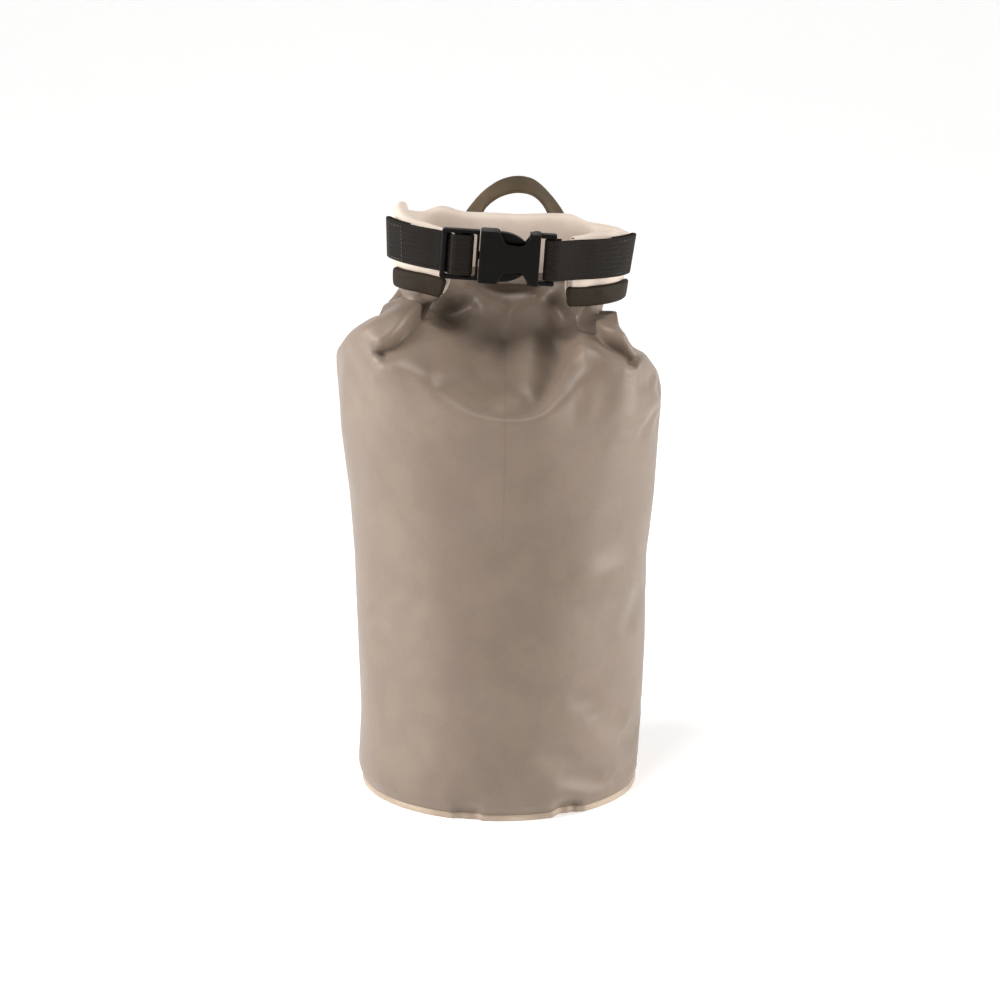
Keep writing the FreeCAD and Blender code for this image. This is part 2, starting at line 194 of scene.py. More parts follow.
def subdivide(piece, levels=1):
    modifier = piece.modifiers.new("Subdivision", "SUBSURF")
    modifier.levels = levels
    modifier.render_levels = levels
    return settle(piece)


def join(name, pieces):
    """Joins pieces that don't ride on a body yet into the first of them."""
    mesh = bmesh.new()
    for piece in pieces:
        piece.data.transform(piece.matrix_world)
        mesh.from_mesh(piece.data)
    first = pieces[0]
    mesh.to_mesh(first.data)
    mesh.free()
    first.matrix_world = Matrix.Identity(4)
    first.name = name
    for piece in pieces[1:]:
        bpy.data.objects.remove(piece)
    for face in first.data.polygons:
        face.use_smooth = True
    return first


def smooth_path(points, step):
    """Points every step along a smooth line through the given ones."""
    points = [Vector(point) for point in points]
    padded = [2 * points[0] - points[1]] + points + [2 * points[-1] - points[-2]]
    dense = []
    for before, start, end, after in zip(padded, padded[1:], padded[2:], padded[3:]):
        for part in range(24):
            t = part / 24
            square = 2 * before - 5 * start + 4 * end - after
            cube = 3 * start - before - 3 * end + after
            dense.append(0.5 * (2 * start + (end - before) * t + square * t * t + cube * t ** 3))
    dense.append(points[-1])
    length = sum((b - a).length for a, b in zip(dense, dense[1:]))
    count = max(2, round(length / step))
    result = [dense[0]]
    walked = 0.0
    for a, b in zip(dense, dense[1:]):
        run = (b - a).length
        while run > 0 and walked + run >= len(result) * length / count and len(result) < count:
            result.append(a.lerp(b, (len(result) * length / count - walked) / run))
        walked += run
    result.append(dense[-1])
    return result


RIB = 1.35 * MM


def ribbon(name, stations, wide, thick, material, selvedge=0.16 * MM):
    """Woven strap. Each station is its middle, the direction across and the direction out of its face."""
    half = wide / 2
    bulge = thick / 2
    profile = [(-half + bulge + (wide - 2 * bulge) * k / 10, bulge) for k in range(11)]
    profile += [(half - bulge + bulge * math.sin(a), bulge * math.cos(a)) for a in (0.8, 1.57, 2.35)]
    profile += [(half - bulge - (wide - 2 * bulge) * k / 10, -bulge) for k in range(11)]
    profile += [(-half + bulge - bulge * math.sin(a), -bulge * math.cos(a)) for a in (0.8, 1.57, 2.35)]
    rows = []
    lengths = [0.0]
    for before, after in zip(stations, stations[1:]):
        lengths.append(lengths[-1] + (after[0] - before[0]).length)
    for index, (spot, across, out) in enumerate(stations):
        wave = selvedge * math.sin(2 * math.pi * lengths[index] / RIB)
        shrink = 0.55 if index in (0, len(stations) - 1) else 1.0
        row = []
        for side, rise in profile:
            edge = wave if abs(side) > half - bulge * 1.2 else 0.0
            row.append(spot + across * (side + math.copysign(edge, side)) + out * rise * shrink)
        rows.append(row)
    sides = [side for side, rise in profile] + [profile[0][0]]
    mesh = grid_mesh(name, rows, around=True, maps=lambda row, column: (lengths[row], sides[column]))
    count = len(profile)
    build = bmesh.new()
    build.from_mesh(mesh)
    build.verts.ensure_lookup_table()
    for start in (0, (len(rows) - 1) * count):
        build.faces.new([build.verts[start + k] for k in range(count)])
    bmesh.ops.recalc_face_normals(build, faces=build.faces)
    build.to_mesh(mesh)
    build.free()
    return make_object(name, mesh, material)


def stitches(name, spots, material, long=2.0 * MM, thick=0.5 * MM):
    """Thread showing as one small domed bar at each (place, direction along, direction out)."""
    build = bmesh.new()
    for spot, along, out in spots:
        side = along.cross(out).normalized()
        turn = Matrix((along.normalized(), side, out.normalized())).transposed().to_4x4()
        shape = Matrix.Translation(spot) @ turn @ Matrix.Diagonal((long / 2, thick / 2, thick * 0.45, 1))
        shape = shape @ Matrix.Rotation(math.pi / 2, 4, "Y")
        bmesh.ops.create_uvsphere(build, u_segments=8, v_segments=6, radius=1, matrix=shape)
    mesh = bpy.data.meshes.new(name)
    build.to_mesh(mesh)
    build.free()
    return make_object(name, mesh, material)


# ---- Materials ----------------------------------------------------------------------------------

def tone(red, green, blue):
    """Linear colour of a familiar 0-255 one."""
    return tuple((value / 255) ** 2.2 for value in (red, green, blue)) + (1.0,)


class Nodes:
    """Short way to build one material's node tree."""

    def __init__(self, name, roughness, **shader):
        self.material = bpy.data.materials.new(name)
        self.material.use_nodes = True
        self.tree = self.material.node_tree
        self.shader = self.tree.nodes["Principled BSDF"]
        self.shader.inputs["Roughness"].default_value = roughness
        for key, value in shader.items():
            self.shader.inputs[key.replace("_", " ")].default_value = value

    def add(self, kind, *links, **values):
        node = self.tree.nodes.new(kind)
        for key, value in values.items():
            if hasattr(node, key):
                setattr(node, key, value)
            else:
                node.inputs[key.replace("_", " ")].default_value = value
        for key, source in links:
            self.tree.links.new(source, node.inputs[key])
        return node

    def math(self, operation, *terms):
        node = self.add("ShaderNodeMath", operation=operation)
        for slot, value in enumerate(terms):
            if isinstance(value, (int, float)):
                node.inputs[slot].default_value = value
            else:
                self.tree.links.new(value, node.inputs[slot])
        return node.outputs[0]

    def mix(self, share, first, second):
        node = self.add("ShaderNodeMix", (0, share), data_type="RGBA")
        for slot, value in ((6, first), (7, second)):
            if isinstance(value, tuple):
                node.inputs[slot].default_value = value
            else:
                self.tree.links.new(value, node.inputs[slot])
        return node.outputs[2]

    def ramp(self, value, low, high):
        node = self.add("ShaderNodeMapRange", ("Value", value), interpolation_type="SMOOTHSTEP")
        node.inputs["From Min"].default_value = low
        node.inputs["From Max"].default_value = high
        return node.outputs[0]

    def noise(self, vector, scale, detail=3.0, roughness=0.55):
        return self.add("ShaderNodeTexNoise", ("Vector", vector), Scale=scale, Detail=detail,
                        Roughness=roughness).outputs["Fac"]

    def uv(self):
        node = self.add("ShaderNodeUVMap", uv_map="UVMap")
        return self.add("ShaderNodeSeparateXYZ", (0, node.outputs[0])).outputs

    def place(self):
        return self.add("ShaderNodeTexCoord").outputs["Object"]

    def wave(self, value, pitch):
        """Runs 0 to 1 and back once every pitch."""
        turned = self.math("MULTIPLY", value, 2 * math.pi / pitch)
        return self.math("MULTIPLY_ADD", self.math("SINE", turned), 0.5, 0.5)

    def bump(self, height, depth, strength=1.0, under=None):
        links = [("Height", height)]
        if under:
            links.append(("Normal", under))
        return self.add("ShaderNodeBump", *links, Distance=depth, Strength=strength).outputs[0]

    def finish(self, color=None, roughness=None, normal=None):
        for key, source in (("Base Color", color), ("Roughness", roughness), ("Normal", normal)):
            if source is not None:
                self.tree.links.new(source, self.shader.inputs[key])
        return self.material


def cloth_material(name, light, dark, painted_crease_shade=False):
    """Plain-woven cloth with a pearly coating: fine threads, soft mottling, fine light flecks of painted
    sheen, and, for the bag's body, a thin dark line of painted shade down a crease at the middle of the
    front.
    """
    n = Nodes(name, 0.5, Sheen_Weight=0.1, Sheen_Roughness=0.4, Specular_IOR_Level=0.45)
    u, v, _ = n.uv()
    here = n.place()
    mottle = n.ramp(n.noise(here, 22, 4), 0.35, 0.68)
    warm = n.ramp(n.noise(here, 55, 2), 0.42, 0.62)
    grain = n.noise(here, 900, 2, 0.7)
    threads = n.math("MULTIPLY", n.wave(u, 0.62 * MM), n.wave(v, 0.62 * MM))
    color = n.mix(mottle, dark, light)
    color = n.mix(n.math("MULTIPLY", warm, 0.05), color, tone(170, 148, 118))
    color = n.mix(n.math("MULTIPLY", threads, 0.22), color, tone(112, 98, 88))
    # Painted sheen: fine light flecks mixed in to give the coating a pearly look.
    color = n.mix(n.math("MULTIPLY", n.ramp(grain, 0.55, 0.8), 0.08), color, tone(200, 186, 172))
    if painted_crease_shade:
        # Painted shade: a thin dark line down the middle of the front, 150 to 215 mm up, standing in for the
        # shade in a crease.
        line = n.ramp(n.math("ABSOLUTE", u), 0.7 * MM, 0.15 * MM)
        line = n.math("MULTIPLY", line, n.ramp(v, 150 * MM, 215 * MM))
        color = n.mix(n.math("MULTIPLY", line, 0.45), color, tone(106, 92, 82))
    rough = n.math("MULTIPLY_ADD", mottle, 0.12, 0.42)
    weave = n.bump(threads, 0.05 * MM, 0.55)
    soft = n.bump(n.noise(here, 160, 3), 0.35 * MM, 0.35, weave)
    return n.finish(color, rough, soft)


def webbing_material(name, light, dark, lift=1.0):
    """Flat polyamide webbing: ribs across, columns along, fuzzy light edges."""
    n = Nodes(name, 0.7, Sheen_Weight=0.03, Sheen_Roughness=0.4, Specular_IOR_Level=0.15)
    u, v, _ = n.uv()
    here = n.place()
    ribs = n.wave(u, RIB)
    half_step = n.math("MULTIPLY", n.math("GREATER_THAN", n.wave(v, 3.0 * MM), 0.5), RIB / 2)
    shifted = n.wave(n.math("ADD", u, half_step), RIB)
    columns = n.wave(v, 1.5 * MM)
    weave = n.math("MULTIPLY", shifted, columns)
    fuzz = n.noise(here, 1500, 2, 0.7)
    wear = n.ramp(n.noise(here, 90, 3), 0.45, 0.75)
    edge = n.ramp(n.math("ABSOLUTE", v), 11.0 * MM, 12.6 * MM)
    color = n.mix(weave, dark, light)
    color = n.mix(n.math("MULTIPLY", wear, 0.3), color, light)
    color = n.mix(n.math("MULTIPLY", edge, 0.35), color, light)
    color = n.mix(n.math("MULTIPLY", n.ramp(fuzz, 0.6, 0.85), 0.3), color, light)
    rough = n.math("MULTIPLY_ADD", ribs, 0.15, 0.55)
    height = n.math("MULTIPLY_ADD", weave, 1.0, n.math("MULTIPLY", ribs, 0.5))
    return n.finish(color, rough, n.bump(height, 0.3 * MM * lift, 0.7))


def plastic_material(name, color_low, color_high, roughness=0.4):
    """Moulded acetal: fine spark-eroded grain and a few scuffs, with a painted highlight that lightens the
    sharp edges.
    """
    n = Nodes(name, roughness, Specular_IOR_Level=0.14)
    here = n.place()
    grain = n.noise(here, 2600, 2, 0.6)
    scuffs = n.ramp(n.noise(here, 240, 4), 0.55, 0.72)
    # Painted highlight: sharp edges, found by pointiness, are lightened as if they caught the light.
    edges = n.ramp(n.add("ShaderNodeNewGeometry").outputs["Pointiness"], 0.52, 0.6)
    color = n.mix(n.math("MULTIPLY", scuffs, 0.35), color_low, color_high)
    color = n.mix(n.math("MULTIPLY", edges, 0.5), color, color_high)
    rough = n.math("MULTIPLY_ADD", scuffs, 0.15, roughness)
    return n.finish(color, rough, n.bump(grain, 0.06 * MM, 0.5))


def thread_material():
    """Twisted bonded thread."""
    n = Nodes("thread", 0.55, Sheen_Weight=0.2)
    here = n.place()
    twist = n.noise(here, 3200, 1)
    color = n.mix(twist, tone(30, 25, 20), tone(74, 62, 48))
    return n.finish(color, None, n.bump(twist, 0.08 * MM, 0.6))


def tape_material():
    """Satin welded tape with a faint embossed grid from the hot wheel."""
    n = Nodes("seam_tape", 0.35, Specular_IOR_Level=0.5)
    here = n.place()
    blotch = n.noise(here, 60, 3)
    grid = n.noise(here, 1400, 1)
    color = n.mix(blotch, tone(176, 160, 144), tone(200, 186, 170))
    return n.finish(color, None, n.bump(grid, 0.08 * MM, 0.4))


# The body cloth carries the painted crease shade down the middle of its front.
cloth = cloth_material("coated_cloth", tone(119, 105, 93), tone(113, 99, 87), painted_crease_shade=True)
roll_cloth = cloth_material("rolled_cloth", tone(214, 199, 185), tone(200, 184, 170))
band_cloth = webbing_material("band_cloth", tone(48, 40, 29), tone(36, 29, 20), lift=0.35)
webbing = webbing_material("webbing", tone(33, 26, 17), tone(18, 14, 9))
loop_webbing = webbing_material("loop_webbing", tone(112, 93, 68), tone(46, 38, 27))
plastic = plastic_material("buckle_plastic", tone(10, 8, 5), tone(30, 24, 17), 0.45)
# The base's lip cloth is a lighter copy of the body cloth: a painted highlight along the bag's bottom edge.
lip_cloth_painted_highlight = cloth_material("lip_cloth_painted_highlight", tone(186, 168, 148), tone(160, 142, 124))
strip_plastic = plastic_material("stiffener_plastic", tone(34, 31, 28), tone(60, 55, 50), 0.5)
thread = thread_material()
tape = tape_material()


# ---- Cloth tube ---------------------------------------------------------------------------------

TUBE_RADIUS = 90 * MM
FOOT = 3 * MM
# Length of cloth from the base to the roll, along the yoke and up each side.
YOKE_LONG = 230 * MM
FRONT_LONG, BACK_LONG, LEFT_LONG, RIGHT_LONG = 385 * MM, 348 * MM, 365 * MM, 352 * MM
# How far the two lowest rows turn in towards the base.
HEM_TURN = {0: 5.5 * MM, 1: 2.5 * MM}
COLUMNS = 160
ROWS = 104
YOKE_ROW = ROWS // 2
NECK_LOW = -24.5 * MM
NECK_HALF = 2.2 * MM
NECK_SPAN = ROLL_HALF - 4 * MM
GATHER_FRAMES = 24
LAST_FRAME = 52


def neck_place(column, height, half=NECK_HALF):
    """Where a column of the tube ends under the roll: the front half inside the C, the back half outside."""
    turn = column / COLUMNS
    share = 4 * turn - 1 if turn < 0.5 else 3 - 4 * turn
    along = share * NECK_SPAN
    side = -half if turn < 0.5 else half
    side *= min(1.0, (NECK_SPAN - abs(along)) / (6 * MM))
    return on_roll(along, side, height)[0]


def tube_angle(column):
    """Column 0 is at the left, and the first half of the columns crosses the front."""
    return math.pi + 2 * math.pi * column / COLUMNS


def tube_long(angle):
    """Length of cloth up one column. The mouth is rolled up further at the back and on the right."""
    front, back = -math.sin(angle), math.cos(angle)
    middle = (FRONT_LONG + BACK_LONG) / 2 - (LEFT_LONG + RIGHT_LONG) / 2
    return ((LEFT_LONG + RIGHT_LONG) / 2 + (FRONT_LONG - BACK_LONG) / 2 * front + middle * front * front
            + (RIGHT_LONG - LEFT_LONG) / 2 * back)


def tube_rise(row, column):
    """Height of a point up the laid-out cloth. Rows are level as far as the yoke and slant above it."""
    level = min(row / YOKE_ROW, 1.0) * YOKE_LONG
    above = max(row - YOKE_ROW, 0) / (ROWS - YOKE_ROW)
    return level + (tube_long(tube_angle(column)) - YOKE_LONG) * above


def tube_rows():
    rows = []
    for row in range(ROWS + 1):
        radius = TUBE_RADIUS - HEM_TURN.get(row, 0)
        line = []
        for column in range(COLUMNS):
            angle = tube_angle(column)
            rise = FOOT + tube_rise(row, column)
            line.append(Vector((radius * math.cos(angle), radius * math.sin(angle), rise)))
        rows.append(line)
    return rows


def tube_map(row, column):
    """Cloth coordinates in metres: zero at the middle of the front, and up from the base."""
    return (column / COLUMNS - 0.25) * 2 * math.pi * TUBE_RADIUS, tube_rise(row, column)


def linear_keys(action):
    for curve in action.fcurves:
        for key in curve.keyframe_points:
            key.interpolation = "LINEAR"


def roll_collider(drop):
    """Plain copy of the roll that comes down with the gathered neck and keeps cloth out of the roll."""
    half = ROLL_THICK / 2
    section = ((-half, -23), (0, -23), (half, -23), (half + MM, -10), (half + MM, 12), (-half, 12))
    rows = []
    for step in range(73):
        along = ROLL_HALF * (step / 36 - 1)
        rows.append([on_roll(along, side, height * MM)[0] for side, height in section])
    mesh = grid_mesh("collider", rows, around=True)
    piece = bpy.data.objects.new("collider", mesh)
    bpy.context.scene.collection.objects.link(piece)
    piece.modifiers.new("Collision", "COLLISION")
    piece.collision.thickness_outer = 0.8 * MM
    piece.collision.cloth_friction = 3
    for moment, height in ((1, drop), (GATHER_FRAMES, 0.0)):
        piece.location.z = height
        piece.keyframe_insert("location", frame=moment)
    linear_keys(piece.animation_data.action)
    return piece


def gather(piece):
    """Cloth simulation: the tube is blown full while its top edge is drawn down into the roll."""
    top = ROWS * COLUMNS
    held = piece.vertex_groups.new(name="held")
    held.add(list(range(COLUMNS)) + list(range(top, top + COLUMNS)), 1.0, "REPLACE")
    piece.shape_key_add(name="open")
    closed = piece.shape_key_add(name="closed")
    for column in range(COLUMNS):
        closed.data[top + column].co = neck_place(column, NECK_LOW)
    for moment, value in ((1, 0.0), (GATHER_FRAMES, 1.0)):
        closed.value = value
        closed.keyframe_insert("value", frame=moment)
    linear_keys(piece.data.shape_keys.animation_data.action)
    collider = roll_collider(FOOT + FRONT_LONG - neck_place(0, NECK_LOW).z + 4 * MM)
    cloth_rules(piece.modifiers.new("Cloth", "CLOTH"))
    scene = bpy.context.scene
    for moment in range(1, LAST_FRAME + 1):
        scene.frame_set(moment)
    settle(piece)
    scene.frame_set(1)
    bpy.data.objects.remove(collider)


def cloth_rules(modifier):
    rules = modifier.settings
    rules.quality = 6
    rules.mass = 0.0005
    rules.tension_stiffness = 25
    rules.compression_stiffness = 25
    rules.shear_stiffness = 5
    rules.bending_stiffness = 4
    rules.shear_damping = 3
    rules.bending_damping = 0.5
    rules.air_damping = 1
    rules.use_pressure = True
    rules.uniform_pressure_force = 8
    rules.vertex_group_mass = "held"
    rules.pin_stiffness = 5
    rules.effector_weights.gravity = 0
    modifier.collision_settings.use_collision = True
    modifier.collision_settings.distance_min = 0.8 * MM
    modifier.collision_settings.use_self_collision = False
    modifier.point_cache.frame_end = LAST_FRAME


# Half widths of the filled bag: height, left and right. The mouth's roll hides what is above.
SIDE_PROFILE = ((0, 84, 84), (8, 89, 86), (45, 87, 88.5), (95, 88.7, 90.5), (148, 90.5, 91),
                (187, 93.5, 95.5), (226, 98.6, 98), (252, 100, 100), (265, 101, 97), (278, 101, 92),
                (291, 97, 83), (301, 89, 73), (309, 80, 71))
FRONT_TILT = math.radians(16.5)
TOWARD = Vector((0, -math.cos(FRONT_TILT), math.sin(FRONT_TILT)))


def read_points(piece):
    points = np.empty(len(piece.data.vertices) * 3)
    piece.data.vertices.foreach_get("co", points)
    return points.reshape(-1, 3)


def write_points(piece, points):
    piece.data.vertices.foreach_set("co", points.ravel())
    piece.data.update()


def smoothstep(values, low, high):
    share = np.clip((values - low) / (high - low), 0, 1)
    return share * share * (3 - 2 * share)


def neck_hold(points):
    """0 at the gathered top edge, 1 from 12 mm below it."""
    tilted = closure.inverted()
    local = points @ np.array(tilted.to_3x3())[2] + tilted.translation.z
    return smoothstep(NECK_LOW - local, 0, 12 * MM)


def fit_sides(piece):
    """Brings the blown-up tube's silhouette to the side profile, a little at a time up the bag."""
    points = read_points(piece)
    heights = np.arange(0, 316, 3) * MM
    hold = neck_hold(points)
    levels, *sides = np.array(SIDE_PROFILE).T * MM
    for profile, sign in zip(sides, (-1, 1)):
        widths = []
        for height in heights:
            near = points[np.abs(points[:, 2] - height) < 4 * MM, 0] * sign
            widths.append(near.max())
        widths = np.convolve(np.pad(widths, 1, "edge"), (0.25, 0.5, 0.25), "valid")
        wanted = np.interp(heights, levels, profile)
        ratio = np.interp(points[:, 2], heights, wanted / widths)
        chosen = points[:, 0] * sign > 0
        points[chosen, 0] *= (1 + (ratio - 1) * hold)[chosen]
        limit = np.interp(points[:, 2], heights, wanted)
        over = chosen & (np.abs(points[:, 0]) > limit) & (hold > 0)
        points[over, 0] = (sign * limit)[over]
    write_points(piece, points)


def edge_ends(mesh):
    ends = np.empty(len(mesh.edges) * 2, dtype=int)
    mesh.edges.foreach_get("vertices", ends)
    return ends.reshape(-1, 2).T


def relax(piece, pull, rounds):
    """Moves each point towards the middle of its neighbours, by its own pull from 0 to 1."""
    points = read_points(piece)
    first, second = edge_ends(piece.data)
    joined = np.bincount(first, minlength=len(points)) + np.bincount(second, minlength=len(points))
    for _ in range(rounds):
        total = np.zeros_like(points)
        np.add.at(total, first, points[second])
        np.add.at(total, second, points[first])
        points += (total / joined[:, None] - points) * (0.6 * pull)[:, None]
    write_points(piece, points)


def below_top(points):
    """True for all points but the two highest rows, which the roll holds."""
    return np.arange(len(points)) < (ROWS - 1) * COLUMNS


def relax_shoulders(piece, rounds=10):
    """Eases out the small puckers that gathering leaves below the two wings of the roll."""
    x, y, z = read_points(piece).T
    pull = smoothstep(z, z.max() - 42 * MM, z.max() - 28 * MM) * smoothstep(np.abs(x), 22 * MM, 40 * MM)
    pull *= smoothstep(-y, -25 * MM, 0) * below_top(x)
    relax(piece, pull, rounds)


# How far back the cloth stands where the loop's patches hold it out: height and depth in millimetres.
BACK_DEPTH = ((240, 78), (260, 73), (284, 65), (300, 56), (308, 50), (314, 40))
BACK_HALF = 84 * MM


def hold_out_back(piece):
    """Fills out the back under the right patch, since a welded patch keeps the cloth from folding in."""
    points = read_points(piece)
    x, y, z = points.T
    turn = np.arange(len(x)) % COLUMNS / COLUMNS
    pull = smoothstep(x, 12 * MM, 30 * MM) * smoothstep(-x, -80 * MM, -64 * MM)
    pull *= smoothstep(turn, 0.52, 0.56) * smoothstep(z, 236 * MM, 258 * MM) * below_top(x)
    depth = np.interp(z, *np.array(BACK_DEPTH).T * MM)
    wanted = depth * np.sqrt(np.clip(1 - (x / BACK_HALF) ** 2, 0, 1))
    points[:, 1] += np.clip(wanted - y, 0, None) * pull
    write_points(piece, points)
    relax(piece, pull, 40)


def soft_normals(piece, rounds=10):
    """Vertex normals averaged over their neighbours, so that folds already there don't turn new ones."""
    mesh = piece.data
    normals = np.empty(len(mesh.vertices) * 3)
    mesh.vertex_normals.foreach_get("vector", normals)
    normals = normals.reshape(-1, 3)
    first, second = edge_ends(mesh)
    for _ in range(rounds):
        total = normals.copy()
        np.add.at(total, first, normals[second])
        np.add.at(total, second, normals[first])
        normals = total / np.linalg.norm(total, axis=1)[:, None]
    return normals


class Sculptor:
    """Raises and sinks the cloth along lines laid out in the front view, in millimetres."""

    def __init__(self, piece, facing):
        self.piece = piece
        self.points = read_points(piece)
        facing = np.array(facing.normalized())
        soft = soft_normals(piece)
        self.seen = smoothstep(soft @ facing, -0.15, 0.3) * neck_hold(self.points)
        out = soft * 0.4 + facing * 0.6
        self.out = out / np.linalg.norm(out, axis=1)[:, None]
        across = np.array((-facing[1], facing[0], 0)) / math.hypot(facing[0], facing[1])
        upward = np.cross(facing, across)
        self.flat = np.stack((self.points @ across, self.points @ upward), 1)

    def fold(self, path, rise, left, right, sharp=1.0, ends=(0.3, 0.3)):
        """One fold. left and right are its reach beside the path; sharp under 1 makes its crest keener."""
        path = smooth_path([(x * MM, up * MM, 0) for x, up in path], 1.2 * MM)
        line = np.array([point.xy for point in path])
        reach = 2.6 * max(left, right) * MM
        near = np.all((self.flat > line.min(0) - reach) & (self.flat < line.max(0) + reach), axis=1)
        chosen = np.nonzero(near & (self.seen > 0.01))[0]
        gaps = self.flat[chosen][:, None, :] - line[None, :, :]
        lengths = np.hypot(gaps[..., 0], gaps[..., 1])
        nearest = lengths.argmin(1)
        away = lengths[np.arange(len(chosen)), nearest]
        heading = np.gradient(line, axis=0)[nearest]
        gap = gaps[np.arange(len(chosen)), nearest]
        side = heading[:, 0] * gap[:, 1] - heading[:, 1] * gap[:, 0]
        width = np.where(side > 0, left, right) * MM
        share = nearest / (len(line) - 1)
        taper = smoothstep(share, -0.01, ends[0]) * smoothstep(1 - share, -0.01, ends[1])
        profile = np.exp(-(away / width) ** (2 * sharp)) * taper * self.seen[chosen]
        self.points[chosen] += self.out[chosen] * (profile * rise * MM)[:, None]

    def finish(self):
        write_points(self.piece, self.points)


def fold_neck(piece):
    """Folds where the front of the tube is gathered in under the roll."""
    cloth_folds = Sculptor(piece, TOWARD)
    fold = cloth_folds.fold
    # Left: a ridge from the wing's lower corner down to a pinch, the hollow beside it, and the hollow's rim.
    fold(((-40, 298), (-36, 284), (-32, 272)), -8.5, 15, 15, ends=(0.4, 0.5))
    fold(((-46, 304), (-51, 294), (-56, 284), (-64, 274), (-76, 262)), 7, 5, 9, sharp=0.9, ends=(0.15, 0.15))
    fold(((-42, 300), (-46, 291), (-52, 280), (-61, 270), (-75, 260)), -8.5, 5, 4, sharp=0.9,
         ends=(0.15, 0.1))
    fold(((-76, 259), (-65, 254), (-48, 250), (-30, 252), (-14, 260), (-6, 271)), 3.5, 10, 8,
         ends=(0.1, 0.4))
    # Middle: two dimples under the buckle and the panel between them.
    fold(((-34, 299), (-26, 292), (-14, 299)), -8.5, 7, 7, ends=(0.25, 0.25))
    fold(((15, 302), (24, 300), (33, 295), (38, 286), (41, 280)), -8.5, 6, 5, ends=(0.25, 0.2))
    fold(((-1, 298), (5, 284), (8, 266)), 3.5, 10, 10, ends=(0.3, 0.5))
    # Right: folds fan out from under the wing, with a deep pocket below them.
    fold(((28, 294), (30, 280), (37, 270), (46, 265)), 4.5, 6, 6, ends=(0.3, 0.3))
    fold(((44, 265), (56, 264), (68, 257), (83, 251)), 5, 5, 9, ends=(0.2, 0.2))
    fold(((50, 286), (56, 278), (64, 269.5), (75, 262), (84, 255)), -10, 5, 4, sharp=0.9, ends=(0.2, 0.1))
    fold(((53, 290), (60, 281), (70, 275), (84, 268)), 4.5, 4, 5, sharp=0.9, ends=(0.3, 0.3))
    # Left shoulder: the back layer shows as a second edge above a slit.
    fold(((-94, 279), (-80, 284), (-66, 292), (-56, 299)), -3, 3, 3, ends=(0.3, 0.3))
    fold(((-93, 274), (-80, 278), (-66, 286), (-56, 294)), 2.5, 5, 6, ends=(0.3, 0.3))
    # Lower down: slack in the sides, and dents where the wall meets the ground.
    fold(((90, 137), (70, 131), (50, 122), (34, 112)), 3, 12, 9, ends=(0.1, 0.5))
    fold(((88, 124), (84, 108), (75, 88)), -3, 5, 5, ends=(0.2, 0.4))
    fold(((-84, 108), (-72, 86), (-56, 62)), -2.5, 8, 8, ends=(0.2, 0.5))
    fold(((-30, -19), (-20, -17), (-10, -21)), -3, 5, 5, ends=(0.3, 0.3))
    fold(((34, -22), (42, -15), (50, -19)), -5, 5, 5, ends=(0.3, 0.3))
    cloth_folds.finish()


TUCK_ROWS = 8
TUCKED_LOW = -19.5 * MM
TUCKED_HALF = 4.4 * MM


def tuck_in(piece):
    """Draws the top edge up against both faces of the roll, so that cloth runs on from one to the other."""
    for row in range(ROWS - TUCK_ROWS, ROWS + 1):
        share = ease((row - ROWS + TUCK_ROWS) / TUCK_ROWS)
        for column in range(COLUMNS):
            shift = neck_place(column, TUCKED_LOW, TUCKED_HALF) - neck_place(column, NECK_LOW)
            piece.data.vertices[row * COLUMNS + column].co += shift * share


def make_bag():
    piece = make_object("bag_cloth", grid_mesh("bag_cloth", tube_rows(), around=True, maps=tube_map), cloth)
    gather(piece)
    relax_shoulders(piece)
    fit_sides(piece)
    relax_shoulders(piece, rounds=5)
    hold_out_back(piece)
    tuck_in(piece)
    subdivide(piece)
    fold_neck(piece)
    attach(piece, "bag")
    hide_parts("tube_wall")
    return piece


def make_neck_sleeve():
    """Cloth between bag and roll, folded away in the roll at rest: a short band whose cloth coordinates run
    the length the roll can lift.
    """
    levels = 24
    deep = 4 * MM
    turn_tall = joint("mouth_unroll")["range_m"][1]
    rows = [[neck_place(column, TUCKED_LOW + deep * level / levels, TUCKED_HALF - 0.3 * MM)
             for column in range(COLUMNS)] for level in range(levels + 1)]
    maps = lambda row, column: (tube_map(0, column)[0], FRONT_LONG + turn_tall * row / levels)
    piece = make_object("neck_sleeve", grid_mesh("neck_sleeve", rows, around=True, maps=maps), cloth)
    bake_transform(piece)
    return piece


# ---- Rolled mouth -------------------------------------------------------------------------------

ROLL_TURNS = 2.6
LAYER = 1.7 * MM
# How far the roll's upper edge stands above its middle height, along the roll from left tip to right tip.
ROLL_TOP = ((-135, -3.5), (-112, -1.5), (-84, 4.0), (-72, -3.5), (-58, -5.5), (-44, -2.0), (-28, -4.5),
            (0, -4.0), (28, -2.0), (36, -1.5), (52, -6.0), (74, -5.5), (92, -3.5), (112, 1.0), (135, -2.5))


def roll_section(turn, along):
    """Offset and height of the rolled cloth after so many turns from the outside."""
    angle = -math.pi / 2 + 2 * math.pi * turn
    half_thick = ROLL_THICK / 2 - 0.6 * MM - LAYER * turn
    half_tall = ROLL_TALL / 2 - 0.4 * MM - LAYER * turn
    side = math.copysign(abs(math.cos(angle)) ** 0.62, math.cos(angle)) * max(half_thick, 0.6 * MM)
    rise = math.copysign(abs(math.sin(angle)) ** 0.72, math.sin(angle)) * half_tall
    upper = max(rise / half_tall, 0.0)
    rise += through([(a * MM, b * MM) for a, b in ROLL_TOP], along) * upper
    return side, rise


